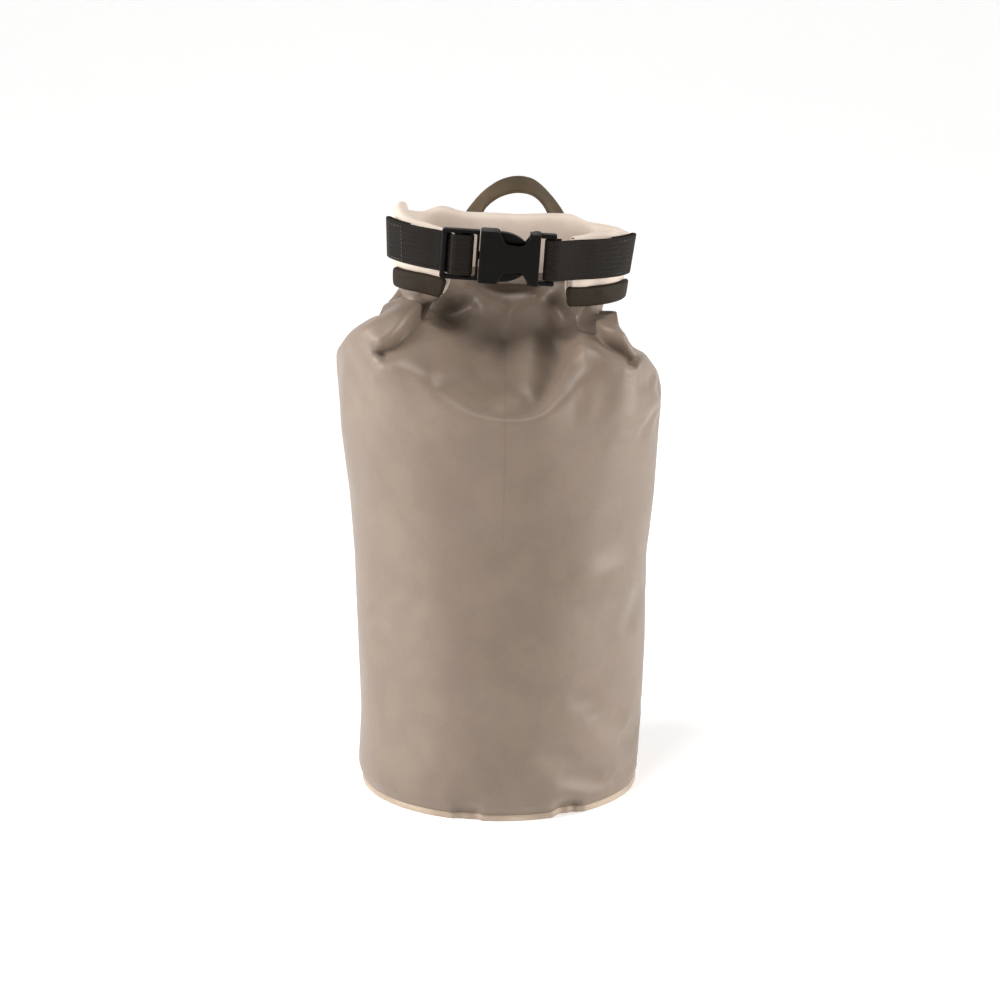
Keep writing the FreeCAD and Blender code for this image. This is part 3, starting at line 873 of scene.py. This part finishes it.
def make_roll():
    rows = []
    steps = 170
    around = 38
    for step in range(steps + 1):
        along = ROLL_HALF * (2 * step / steps - 1)
        row = []
        for index in range(int(ROLL_TURNS * around) + 1):
            turn = index / around
            side, rise = roll_section(turn, along)
            inset = 1 - 0.012 - 0.03 * min(abs(rise) / (ROLL_TALL / 2), 1.2) ** 4
            point, out = on_roll(along * inset, side, rise)
            outer = max(0.0, 1 - turn)
            puff = noise.noise(Vector((along * 70, rise * 45, turn))) * 1.5 * MM
            puff += noise.noise(Vector((along * 190 + rise * 90, rise * 60, 7))) * 0.6 * MM
            row.append(point + out * puff * (0.25 + 0.75 * outer) * (1 if side > 0 else 0.6))
        rows.append(row)
    maps = lambda row, column: (row * 2 * ROLL_HALF / steps, column * 105 * MM / around)
    piece = make_object("rolled_cloth", grid_mesh("rolled_cloth", rows, maps=maps), roll_cloth)
    shell = piece.modifiers.new("Thickness", "SOLIDIFY")
    shell.thickness = 0.9 * MM
    shell.offset = 0
    settle(piece)
    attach(piece, "closure")
    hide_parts("rolled_mouth")
    return piece


def make_stiffener():
    """Plastic strip that the mouth is rolled round, bent with the roll."""
    reach = ROLL_HALF - 7 * MM
    stations = []
    for step in range(121):
        along = reach * (step / 60 - 1)
        spot, out = on_roll(along, 0, 0)
        across = (on_roll(along, 0, 5 * MM)[0] - on_roll(along, 0, -5 * MM)[0]).normalized()
        stations.append((spot, across, out))
    piece = ribbon("stiffener_strip", stations, 26 * MM, 1.2 * MM, strip_plastic)
    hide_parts("mouth_stiffener")
    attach(piece, "closure")


# How far each band's end reaches past the wing tip at its top and bottom edge, in millimetres.
BAND_REACH = {-1: (0.5, -3.8), 1: (2.2, 0.2)}
BAND_BACK = {-1: 41 * MM, 1: 47 * MM}


def make_mouth_band(side):
    """Dark folded band that shows below the strap: a soft flat pad with rounded corners."""
    sign = SIDES[side]
    start = ROLL_HALF - BAND_BACK[sign]
    low, high = -22.5 * MM, -9.8 * MM
    thick = 2.4 * MM
    skin = ROLL_THICK / 2 - 0.4 * MM
    top_reach, low_reach = BAND_REACH[sign]
    rows = []
    for row in range(31):
        down = row / 30
        line = []
        for column in range(71):
            part = column / 70
            end = ROLL_HALF + (low_reach + (top_reach - low_reach) * down) * MM
            corner = 2.2 * MM * (abs(2 * down - 1) ** 5)
            along = (start + corner) + (end - start - 2 * corner) * part
            plump = (1 - abs(2 * part - 1) ** 30) * (1 - abs(2 * down - 1) ** 8)
            fold = 1 + 0.10 * noise.noise(Vector((along * 160, down * 3, sign)))
            height = low + (high - low) * down + 0.4 * MM * math.sin(part * 5 + sign)
            line.append(on_roll(sign * along, skin + thick * max(plump, 0) ** 0.55 * fold, height)[0])
        rows.append(line)
    maps = lambda row, column: (column * 0.68 * MM, row * 0.42 * MM)
    piece = make_object(f"mouth_band_{side}_cloth", grid_mesh("band", rows, maps=maps), band_cloth)
    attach(piece, "closure")
    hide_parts(f"mouth_band_{side}")


# ---- Straps -------------------------------------------------------------------------------------

STRAP_LEAN = 0.088
# Plan of each strap from its sewn hem to the wing's tip, in the closure frame and for the right side.
HEM_PLAN = ((60.5, -27.4), (66, -22.6), (70, -17.6), (72.2, -14.2), (73.4, -13.0), (74.6, -14.0))
WING_PLAN = ((72.8, -18.4), (68.2, -24.4), (61, -30.4), (52.5, -35.4))
PLUG_PLAN = ((46, -38.4), (42.6, -40.3), (39.5, -41.5))
SOCKET_PLAN = ((45, -38.8), (37.9, -42.3), (31.5, -46.0), (28.2, -47.8), (25, -48.4), (22.6, -47.9),
               (21.5, -46.5), (21.3, -45), (21.8, -43.3), (23.6, -42.2), (27, -41.7), (30.5, -41.1))


def stations_on(line, ups, outward):
    """Ribbon stations along a level line. ups gives the direction of the strap's width at each point."""
    found = []
    for index, spot in enumerate(line):
        ahead = line[min(index + 1, len(line) - 1)] - line[max(index - 1, 0)]
        out = ahead.cross(ups[index]).normalized() * outward
        found.append((spot, ups[index], out))
    return found


def strap_ribbon(name, plan, sign):
    """Level strap along a plan that is given for the right side. Its corner ends lean outward at the top."""
    points = [Vector((sign * x * MM, y * MM, STRAP_MIDDLE)) for x, y in plan]
    line = smooth_path(points, RIB / 4)
    turn = closure.to_3x3()
    ups = [turn @ Vector((sign * STRAP_LEAN * ease((abs(spot.x) - 40 * MM) / (26 * MM)), 0, 1)).normalized()
           for spot in line]
    stations = stations_on([closure @ spot for spot in line], ups, -sign)
    return ribbon(name, stations, WEB_WIDE, WEB_THICK, webbing)


def make_left_strap():
    """From its sewn hem at the left corner, over the wing and in behind the plug's outer bar."""
    piece = strap_ribbon("left_strap_web", [*HEM_PLAN, *WING_PLAN, *PLUG_PLAN], -1)
    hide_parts("left_strap")
    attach(piece, "closure")
    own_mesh(piece)


def make_right_strap():
    """From its sewn hem at the right corner, over the wing, round the socket's bar and back behind it."""
    piece = strap_ribbon("right_strap_web", [*HEM_PLAN, *WING_PLAN, *SOCKET_PLAN], 1)
    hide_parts("right_strap", "right_strap_wrap")
    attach(piece, "closure")


def make_left_wrap():
    """Webbing that comes up through the plug's outer slot, crosses its inner bar and goes back down."""
    middle = buckle.inverted() @ closure @ Vector((0, 0, STRAP_MIDDLE))
    around = ((-33.5, 3.6), (-31.0, 2.6), (-29.6, 0), (-28.4, -2.6), (-26.2, -3.7), (-22, -3.8),
              (-18.6, -3.6), (-16.6, -2.0), (-16.2, 0.5), (-17.6, 3.0), (-21, 4.0), (-27, 4.1))
    corners = [Vector((x * MM, y * MM, middle.z)) for x, y in around]
    line = [buckle @ point for point in smooth_path(corners, RIB / 4)]
    ups = [buckle.to_3x3() @ Z_AXIS] * len(line)
    piece = ribbon("left_wrap_web", stations_on(line, ups, 1), WEB_WIDE, WEB_THICK, webbing)
    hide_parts("left_strap_wrap")
    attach(piece, "plug")


STITCH_ROWS = (71.5, 64.5)
# The left strap's stitches stand this far outside its plan at the hem, in millimetres.
LEFT_THREAD_OUT = 1.8


def on_strap(across, rise, sign):
    """Point on a strap's outer face over the wing, with the directions along it and out of it."""
    plan = [Vector((x, y)) for x, y in WING_PLAN]
    if across > plan[0].x:
        plan.insert(0, Vector(HEM_PLAN[-1]))
    for first, second in zip(plan, plan[1:]):
        if first.x >= across >= second.x:
            share = (first.x - across) / (first.x - second.x)
            spot = first.lerp(second, share)
            run = (second - first).normalized()
            widened = LEFT_THREAD_OUT * ease((spot.x - 60) / 8) if sign < 0 else 0.0
            out = Vector((-run.y * sign, run.x, 0))
            if out.y > 0:
                out.negate()
            lean = STRAP_LEAN * ease((spot.x - 40) / 26) * rise
            flat = Vector(((spot.x + widened) * sign * MM + lean * sign, spot.y * MM, STRAP_MIDDLE + rise))
            turn = closure.to_3x3()
            along = Vector((run.x * sign, run.y, 0))
            return closure @ (flat + out * WEB_THICK / 2), turn @ along, turn @ out


def make_strap_stitches(side):
    """Box of stitches where the strap is sewn to the roll."""
    sign = SIDES[side]
    high = WEB_WIDE / 2 - 2.2 * MM
    up = closure.to_3x3() @ Z_AXIS
    spots = []
    for across in STITCH_ROWS:
        for index in range(9):
            spot, _, out = on_strap(across, -high + index * high / 4, sign)
            spots.append((spot, up, out))
    for rise in (-high, high):
        for across in (66, 67.8, 69.6):
            spot, along, out = on_strap(across, rise, sign)
            spots.append((spot, along, out))
    piece = stitches(f"{side}_strap_thread", spots, thread)
    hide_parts(f"{side}_strap_stitching")
    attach(piece, "closure")


# ---- Buckle -------------------------------------------------------------------------------------

def mesh_of_curve(name, curve):
    source = bpy.data.objects.new(name, curve)
    bpy.context.scene.collection.objects.link(source)
    graph = bpy.context.evaluated_depsgraph_get()
    mesh = bpy.data.meshes.new_from_object(source.evaluated_get(graph), depsgraph=graph)
    bpy.data.objects.remove(source)
    return mesh


def plate(name, outline, holes, back, front, edge=0.6 * MM):
    """Moulded plate in the buckle's X-Z plane between two depths in millimetres, with rounded edges."""
    curve = bpy.data.curves.new(name, "CURVE")
    curve.dimensions = "2D"
    curve.fill_mode = "BOTH"
    curve.bevel_depth = edge
    curve.bevel_resolution = 3
    curve.offset = -edge
    curve.extrude = (back - front) * MM / 2 - edge
    for ring in (outline, *holes):
        spline = curve.splines.new("POLY")
        spline.points.add(len(ring) - 1)
        spline.use_cyclic_u = True
        for point, (x, z) in zip(spline.points, ring):
            point.co = (x * MM, z * MM, 0, 1)
    mesh = mesh_of_curve(name, curve)
    upright = Matrix.Rotation(math.pi / 2, 4, "X")
    mesh.transform(buckle @ place(0, (back + front) * MM / 2, 0) @ upright)
    return make_object(name, mesh, plastic)


def rounded(points, radius, steps=5):
    """Outline with its corners rounded off. A corner may carry a radius of its own as a third number."""
    result = []
    count = len(points)
    for index, point in enumerate(points):
        own = point[2] if len(point) > 2 else radius
        here = Vector(point[:2])
        before = Vector(points[index - 1][:2]) - here
        after = Vector(points[(index + 1) % count][:2]) - here
        reach = min(own, before.length * 0.45, after.length * 0.45)
        start = here + before.normalized() * reach
        end = here + after.normalized() * reach
        for step in range(steps + 1):
            t = step / steps
            spot = (1 - t) ** 2 * start + 2 * t * (1 - t) * here + t * t * end
            result.append((spot.x, spot.y))
    return result


def frame_box(x_low, x_high, half, radius=0.8):
    return rounded(((x_low, -half), (x_high, -half), (x_high, half), (x_low, half)), radius)


SOCKET_NOTCH = ((-0.5, 16.2, 1.4), (3.6, 8.6, 2.2), (14.6, 7.6, 2.6), (19.2, 14.4, 1.4))


def socket_face():
    """Front or back face of the socket, waisted by a notch above and one below."""
    upper = [(-11.5, 16.2, 1.6), *SOCKET_NOTCH, (20.6, 16.0, 1.2), (25.0, 16.0, 1.0)]
    lower = [(x, -z, r) for x, z, r in reversed(upper)]
    return rounded(upper + lower, 1.0)


def make_socket():
    pieces = [plate("socket_face", socket_face(), (), -3.2, -5.6)]
    pieces.append(plate("socket_rear", socket_face(), (), 5.6, 3.2))
    for sign in (1, -1):
        corners = ((-11.3, 13.6 * sign), (-0.2, 13.6 * sign), (-0.8, 16.2 * sign), (-11.3, 16.2 * sign))
        pieces.append(plate("socket_wall", rounded(corners, 0.6), (), 4.4, -4.4, 0.4 * MM))
        corners = ((2.6, 2.8 * sign), (12.5, 2.8 * sign), (12.5, 4.2 * sign), (4.2, 4.2 * sign))
        pieces.append(plate("socket_rib", rounded(corners, 0.5), (), 4.2, -4.2, 0.3 * MM))
        pieces.append(rim_bead([(x, z * sign) for x, z, _ in SOCKET_NOTCH]))
        corners = ((22.0, 16.0 * sign), (34.6, 16.0 * sign, 2), (34.6, 13.4 * sign), (22.0, 13.4 * sign))
        pieces.append(plate("socket_rail", rounded(corners, 1), (), 2.8, -2.8))
    pieces.append(plate("socket_floor", frame_box(18.2, 24.4, 15.8), (), 4.4, -4.4, 0.5 * MM))
    pieces.append(plate("socket_bar", frame_box(29.6, 34.4, 15.4, 1.6), (), 2.2, -2.2, 1.0 * MM))
    piece = join("buckle_socket_body", pieces)
    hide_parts("buckle_socket")
    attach(piece, "closure")


def rim_bead(corners):
    """Raised bead round one notch."""
    line = rounded(corners, 2.2)[3:-3]
    path = [buckle @ Vector((x * MM, -5.5 * MM, z * MM)) for x, z in line]
    curve = bpy.data.curves.new("bead", "CURVE")
    curve.dimensions = "3D"
    curve.bevel_depth = 0.45 * MM
    curve.bevel_resolution = 3
    curve.use_fill_caps = True
    spline = curve.splines.new("POLY")
    spline.points.add(len(path) - 1)
    for point, spot in zip(spline.points, path):
        point.co = (*spot, 1)
    return make_object("bead", mesh_of_curve("bead", curve), plastic)


def make_plug():
    outline = rounded(((-35, -15.6, 2.4), (-12.0, -15.6, 0.8), (-12.0, 15.6, 0.8), (-35, 15.6, 2.4)), 1)
    holes = (frame_box(-31.8, -27.2, 13.2, 1.0), frame_box(-22.4, -13.6, 13.2, 1.2))
    pieces = [plate("plug_frame", outline, holes, 2.5, -2.5, 0.7 * MM)]
    guide = rounded(((-13, -2.4), (10, -2.4), (14, -1.2), (14, 1.2), (10, 2.4), (-13, 2.4)), 0.8)
    pieces.append(plate("plug_guide", guide, (), 1.7, -1.7, 0.5 * MM))
    for x_low, x_high in ((-34.2, -32.6), (-26.4, -25.0), (-24.4, -23.2)):
        pieces.append(plate("plug_grip", frame_box(x_low, x_high, 12.6, 0.6), (), -2.1, -3.0, 0.35 * MM))
    piece = join("buckle_plug_body", pieces)
    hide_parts("buckle_plug")
    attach(piece, "plug")


def make_prong(side, sign):
    """Springy arm that ends in a leaf-shaped catch, with three grip ribs on the catch."""
    leaf = ((-11.4, 8.3), (9, 8.5, 3), (16.2, 9.6, 1.4), (12.5, 12.6, 4), (7, 14.9, 4), (0.7, 15.5, 0.7),
            (0.7, 13.2, 0.6), (-3, 11.4, 2), (-11.4, 11.2))
    shape = rounded([(point[0], point[1] * sign, *point[2:]) for point in leaf], 0.7)
    pieces = [plate("prong", shape, (), 2.5, -2.5, 0.6 * MM)]
    for x in (3.2, 5.6, 8.0):
        low, high = sorted((11.0 * sign, (14.6 - 0.12 * x) * sign))
        rib = rounded(((x - 0.5, low), (x + 0.5, low), (x + 0.5, high), (x - 0.5, high)), 0.3)
        pieces.append(plate("prong_rib", rib, (), -2.2, -3.0, 0.25 * MM))
    piece = join(f"prong_{side}_body", pieces)
    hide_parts(f"buckle_prong_{side}")
    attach(piece, f"prong_{side}")


# ---- Base ---------------------------------------------------------------------------------------

def bottom_ring(piece):
    """Points of the bag's lower edge, in order round it."""
    edge_points = {}
    mesh = piece.data
    used = {}
    for face in mesh.polygons:
        for key in face.edge_keys:
            used[key] = used.get(key, 0) + 1
    for key, count in used.items():
        for index in key:
            spot = mesh.vertices[index].co
            if count == 1 and spot.z < 30 * MM:
                edge_points[index] = spot.copy()
    return sorted(edge_points.values(), key=lambda spot: math.atan2(spot.y, spot.x))


def make_base(piece):
    """Round panel whose turned-out edge is welded to the tube in a thin lip."""
    ring = bottom_ring(piece)
    # Each turn of the lip: millimetres in from the cloth's edge, and share of that edge's height.
    lip = ((-0.2, 1.5), (-0.9, 1.3), (-1.3, 0.75), (-0.9, 0.2), (0.2, 0.0))
    rows = []
    for inward, share in lip:
        row = []
        for spot in ring:
            inner = spot.xy * (1 - inward * MM / spot.xy.length)
            row.append(Vector((*inner, spot.z * share)))
        rows.append(row)
    for radius, rise in ((0.93, 0.1), (0.80, 0.5), (0.6, 0.9), (0.35, 1.2), (0.1, 1.3)):
        row = []
        for spot in ring:
            uneven = 0.7 + 0.6 * abs(noise.noise(spot * 40 * radius))
            row.append(Vector((*spot.xy * radius, rise * MM * uneven)))
        rows.append(row)
    mesh = grid_mesh("base_cloth", rows, around=True,
                     maps=lambda row, column: (column * 1.7 * MM, row * 12 * MM))
    # The panel wears the lighter lip cloth, a painted highlight along the bag's bottom edge.
    panel = make_object("base_cloth", mesh, lip_cloth_painted_highlight)
    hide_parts("base_panel")
    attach(panel, "bag")


# ---- Carry loop and tapes -----------------------------------------------------------------------

# Middle line of the loop from its left foot over the top to its right foot, in the model frame.
LOOP_LINE = ((-24, 50, 311), (-23.7, 46, 320), (-22.6, 42.5, 331), (-17.6, 42, 349), (-11.2, 42, 360.5),
             (-3, 42, 367.5), (5, 42, 371), (13, 42, 371.8), (21, 42, 369.5), (28.5, 42, 362.5),
             (34.4, 42, 352), (39.2, 42.5, 334), (41.4, 46, 321), (42, 49, 311))
LOOP_WIDE = 22 * MM
LOOP_PITCH = math.radians(13)
LOOP_REACH = 33 * MM
PATCH_WIDE, PATCH_LOW, PATCH_HIGH = 25 * MM, 268 * MM, 305 * MM
FOOT_LIFT = 2.0 * MM
THREAD_LIFT = 2.9 * MM


def make_loop():
    """Webbing whose feet lie flat on the bag and whose top is turned level."""
    line = smooth_path([Vector(point) * MM for point in LOOP_LINE], RIB / 4)
    stations = []
    for index, spot in enumerate(line):
        ahead = (line[min(index + 1, len(line) - 1)] - line[max(index - 1, 0)]).normalized()
        share = 1 - 2 * index / (len(line) - 1)
        twist = math.copysign(ease((abs(share) - 0.18) / 0.72), share)
        across = X_AXIS * twist - Y_AXIS * math.sqrt(1 - twist * twist) * math.cos(LOOP_PITCH)
        across -= Z_AXIS * math.sin(LOOP_PITCH) * (1 - abs(twist))
        across = (across - ahead * across.dot(ahead)).normalized()
        stations.append((spot, across, across.cross(ahead).normalized()))
    piece = ribbon("loop_web", stations, LOOP_WIDE, WEB_THICK, loop_webbing)
    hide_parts("handle_loop")
    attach(piece, "carry_loop")


def behind(tree, x, height, lift):
    """Point a little outside the back of the bag, and the way out of the cloth there."""
    spot, normal, _, _ = tree.ray_cast(Vector((x, 0.2, height)), -Y_AXIS)
    if normal.y < 0:
        normal.negate()
    return spot + normal * lift, normal


def laid_patch(name, tree, middle, wide, low, high, lift, thick, material):
    """Flat piece laid on the back of the bag, rounded off at its edges."""
    rows = []
    for row in range(19):
        down = row / 18
        line = []
        for column in range(15):
            part = column / 14
            edge = max(abs(2 * part - 1) ** 12, abs(2 * down - 1) ** 12)
            spot, out = behind(tree, middle + wide * (part - 0.5), low + (high - low) * down, lift)
            line.append(spot + out * thick * (1 - edge) ** 0.5)
        rows.append(line)
    maps = lambda row, column: ((high - low) * row / 18, wide * (column / 14 - 0.5))
    return make_object(name, grid_mesh(name, rows, maps=maps), material)


def make_loop_feet(tree):
    """For each foot of the loop a welded patch, the sewn end of the webbing and its stitches."""
    for side, sign in SIDES.items():
        middle = loop_hinge.x + sign * LOOP_REACH
        patch = laid_patch(f"loop_patch_{side}", tree, middle, PATCH_WIDE, PATCH_LOW, PATCH_HIGH, 0.1 * MM,
                           1.0 * MM, roll_cloth)
        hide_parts(f"handle_patch_{side}")
        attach(patch, "bag")
        web = []
        for index in range(26):
            height = 274 * MM + index * 1.4 * MM
            level = min(height, 308 * MM)
            left_edge, _ = behind(tree, middle - 9 * MM, level, FOOT_LIFT)
            right_edge, _ = behind(tree, middle + 9 * MM, level, FOOT_LIFT)
            share = ease((height - 303 * MM) / (8 * MM))
            spot = ((left_edge + right_edge) / 2).lerp(Vector((middle, 50 * MM, 313 * MM)), share)
            across = (right_edge - left_edge).normalized().lerp(X_AXIS, share).normalized()
            web.append((spot, across, Z_AXIS.cross(across).normalized()))
        foot = ribbon(f"loop_foot_{side}", web, LOOP_WIDE, WEB_THICK, loop_webbing)
        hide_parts(f"handle_root_{side}")
        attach(foot, "bag")
        foot_thread(tree, side, middle)


def foot_thread(tree, side, middle):
    spots = []
    # A box with a cross in it, sewn in one run.
    turns = ((-1, 277), (1, 277), (1, 293), (-1, 293), (-1, 277), (1, 293), (1, 277), (-1, 293))
    corners = [Vector((8.5 * x, z)) for x, z in turns]
    for start, end in zip(corners, corners[1:]):
        count = max(2, round((end - start).length / 2.6))
        for index in range(count):
            here = start.lerp(end, (index + 0.5) / count)
            ahead = here + (end - start) * 0.02
            spot, out = behind(tree, middle + here.x * MM, here.y * MM, THREAD_LIFT)
            later, _ = behind(tree, middle + ahead.x * MM, ahead.y * MM, THREAD_LIFT)
            spots.append((spot, later - spot, out))
    piece = stitches(f"loop_thread_{side}", spots, thread, long=1.9 * MM)
    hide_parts(f"handle_stitching_{side}")
    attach(piece, "bag")


def make_tapes(tree):
    """Tape over the back seam and over the base seam, both on the inside of the bag."""
    rows = []
    for row in range(61):
        height = (18 + 4 * row) * MM
        rows.append([behind(tree, x * MM, height, -1.4 * MM)[0] for x in (-11, -7, -3.5, 0, 3.5, 7, 11)])
    side = make_object("back_tape", grid_mesh("back_tape", rows), tape)
    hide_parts("tube_seam_tape")
    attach(side, "bag")
    rows = []
    for height in (4, 7, 10, 13, 16):
        row = []
        for step in range(120):
            away = Vector((math.cos(step * math.pi / 60), math.sin(step * math.pi / 60), 0))
            spot = tree.ray_cast(Vector((0, 0, height * MM)), away)[0]
            row.append(spot - away * 1.4 * MM)
        rows.append(row)
    base = make_object("base_tape", grid_mesh("base_tape", rows, around=True), tape)
    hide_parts("base_seam_tape")
    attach(base, "bag")


# ---- Scene --------------------------------------------------------------------------------------

def look_at(item, target):
    item.rotation_euler = (Vector(target) - item.location).to_track_quat("-Z", "Y").to_euler()


CAMERA_AWAY = 3.6
VIEW_WIDE = 0.62


def make_camera():
    target = Vector((0, 0, 0.181))
    camera = bpy.data.cameras.new("camera")
    camera.lens = camera.sensor_width * CAMERA_AWAY / VIEW_WIDE
    item = bpy.data.objects.new("camera", camera)
    bpy.context.scene.collection.objects.link(item)
    item.location = target + CAMERA_AWAY * TOWARD
    look_at(item, target)
    bpy.context.scene.camera = item


def area_light(name, spot, size, power, color=(1, 1, 1)):
    light = bpy.data.lights.new(name, "AREA")
    light.energy = power
    light.size = size
    light.color = color
    item = bpy.data.objects.new(name, light)
    bpy.context.scene.collection.objects.link(item)
    item.location = spot
    look_at(item, (0, 0, 0.2))


def make_sweep():
    """Pale floor that curves up behind the bag, lit a little from within like a light table."""
    rows = []
    sweep = ((-4.0, 0.0), (-1.0, 0.0), (1.6, 0.0), (2.2, 0.08), (2.6, 0.35), (2.9, 1.0), (3.0, 4.0))
    for x in (-4.0, 4.0):
        rows.append([Vector((x, y, z)) for y, z in sweep])
    n = Nodes("studio_sweep", 0.9, Emission_Color=(1, 1, 1, 1), Emission_Strength=0.42)
    floor_tone = n.mix(n.noise(n.place(), 3, 2), tone(232, 232, 232), tone(228, 228, 229))
    make_object("floor", grid_mesh("floor", rows), n.finish(floor_tone))


def make_world():
    """Bright walls to the left and right and a dim room behind the camera."""
    world = bpy.data.worlds.new("studio")
    world.use_nodes = True
    nodes = world.node_tree.nodes
    links = world.node_tree.links
    direction = nodes.new("ShaderNodeTexCoord")
    split = nodes.new("ShaderNodeSeparateXYZ")
    links.new(direction.outputs["Generated"], split.inputs[0])
    aside = nodes.new("ShaderNodeMath")
    aside.operation = "ABSOLUTE"
    links.new(split.outputs["X"], aside.inputs[0])
    wall = nodes.new("ShaderNodeMapRange")
    wall.interpolation_type = "SMOOTHSTEP"
    for key, value in (("From Min", 0.35), ("From Max", 0.95), ("To Min", 0.12), ("To Max", 0.8)):
        wall.inputs[key].default_value = value
    links.new(aside.outputs[0], wall.inputs["Value"])
    links.new(wall.outputs[0], nodes["Background"].inputs["Strength"])
    nodes["Background"].inputs["Color"].default_value = (1.0, 0.985, 0.965, 1)
    bpy.context.scene.world = world


def make_lights():
    warm = (1, 0.975, 0.95)
    area_light("left_box", (-1.45, -0.35, 0.6), 0.8, 26, warm)
    area_light("right_box", (1.5, -0.25, 0.4), 0.8, 22, warm)
    area_light("top_box", (-0.25, -0.6, 1.6), 0.5, 15)
    bpy.context.scene.view_settings.view_transform = "Standard"


make_camera()
make_sweep()
make_world()
make_lights()
bag = make_bag()
make_neck_sleeve()
make_roll()
make_stiffener()
for side in SIDES:
    make_mouth_band(side)
    make_strap_stitches(side)
make_left_strap()
make_right_strap()
make_left_wrap()
make_socket()
make_plug()
make_prong("upper", 1)
make_prong("lower", -1)
make_base(bag)
bag_skin = BVHTree.FromPolygons([vertex.co for vertex in bag.data.vertices],
                                [face.vertices for face in bag.data.polygons])
make_loop()
make_loop_feet(bag_skin)
make_tapes(bag_skin)
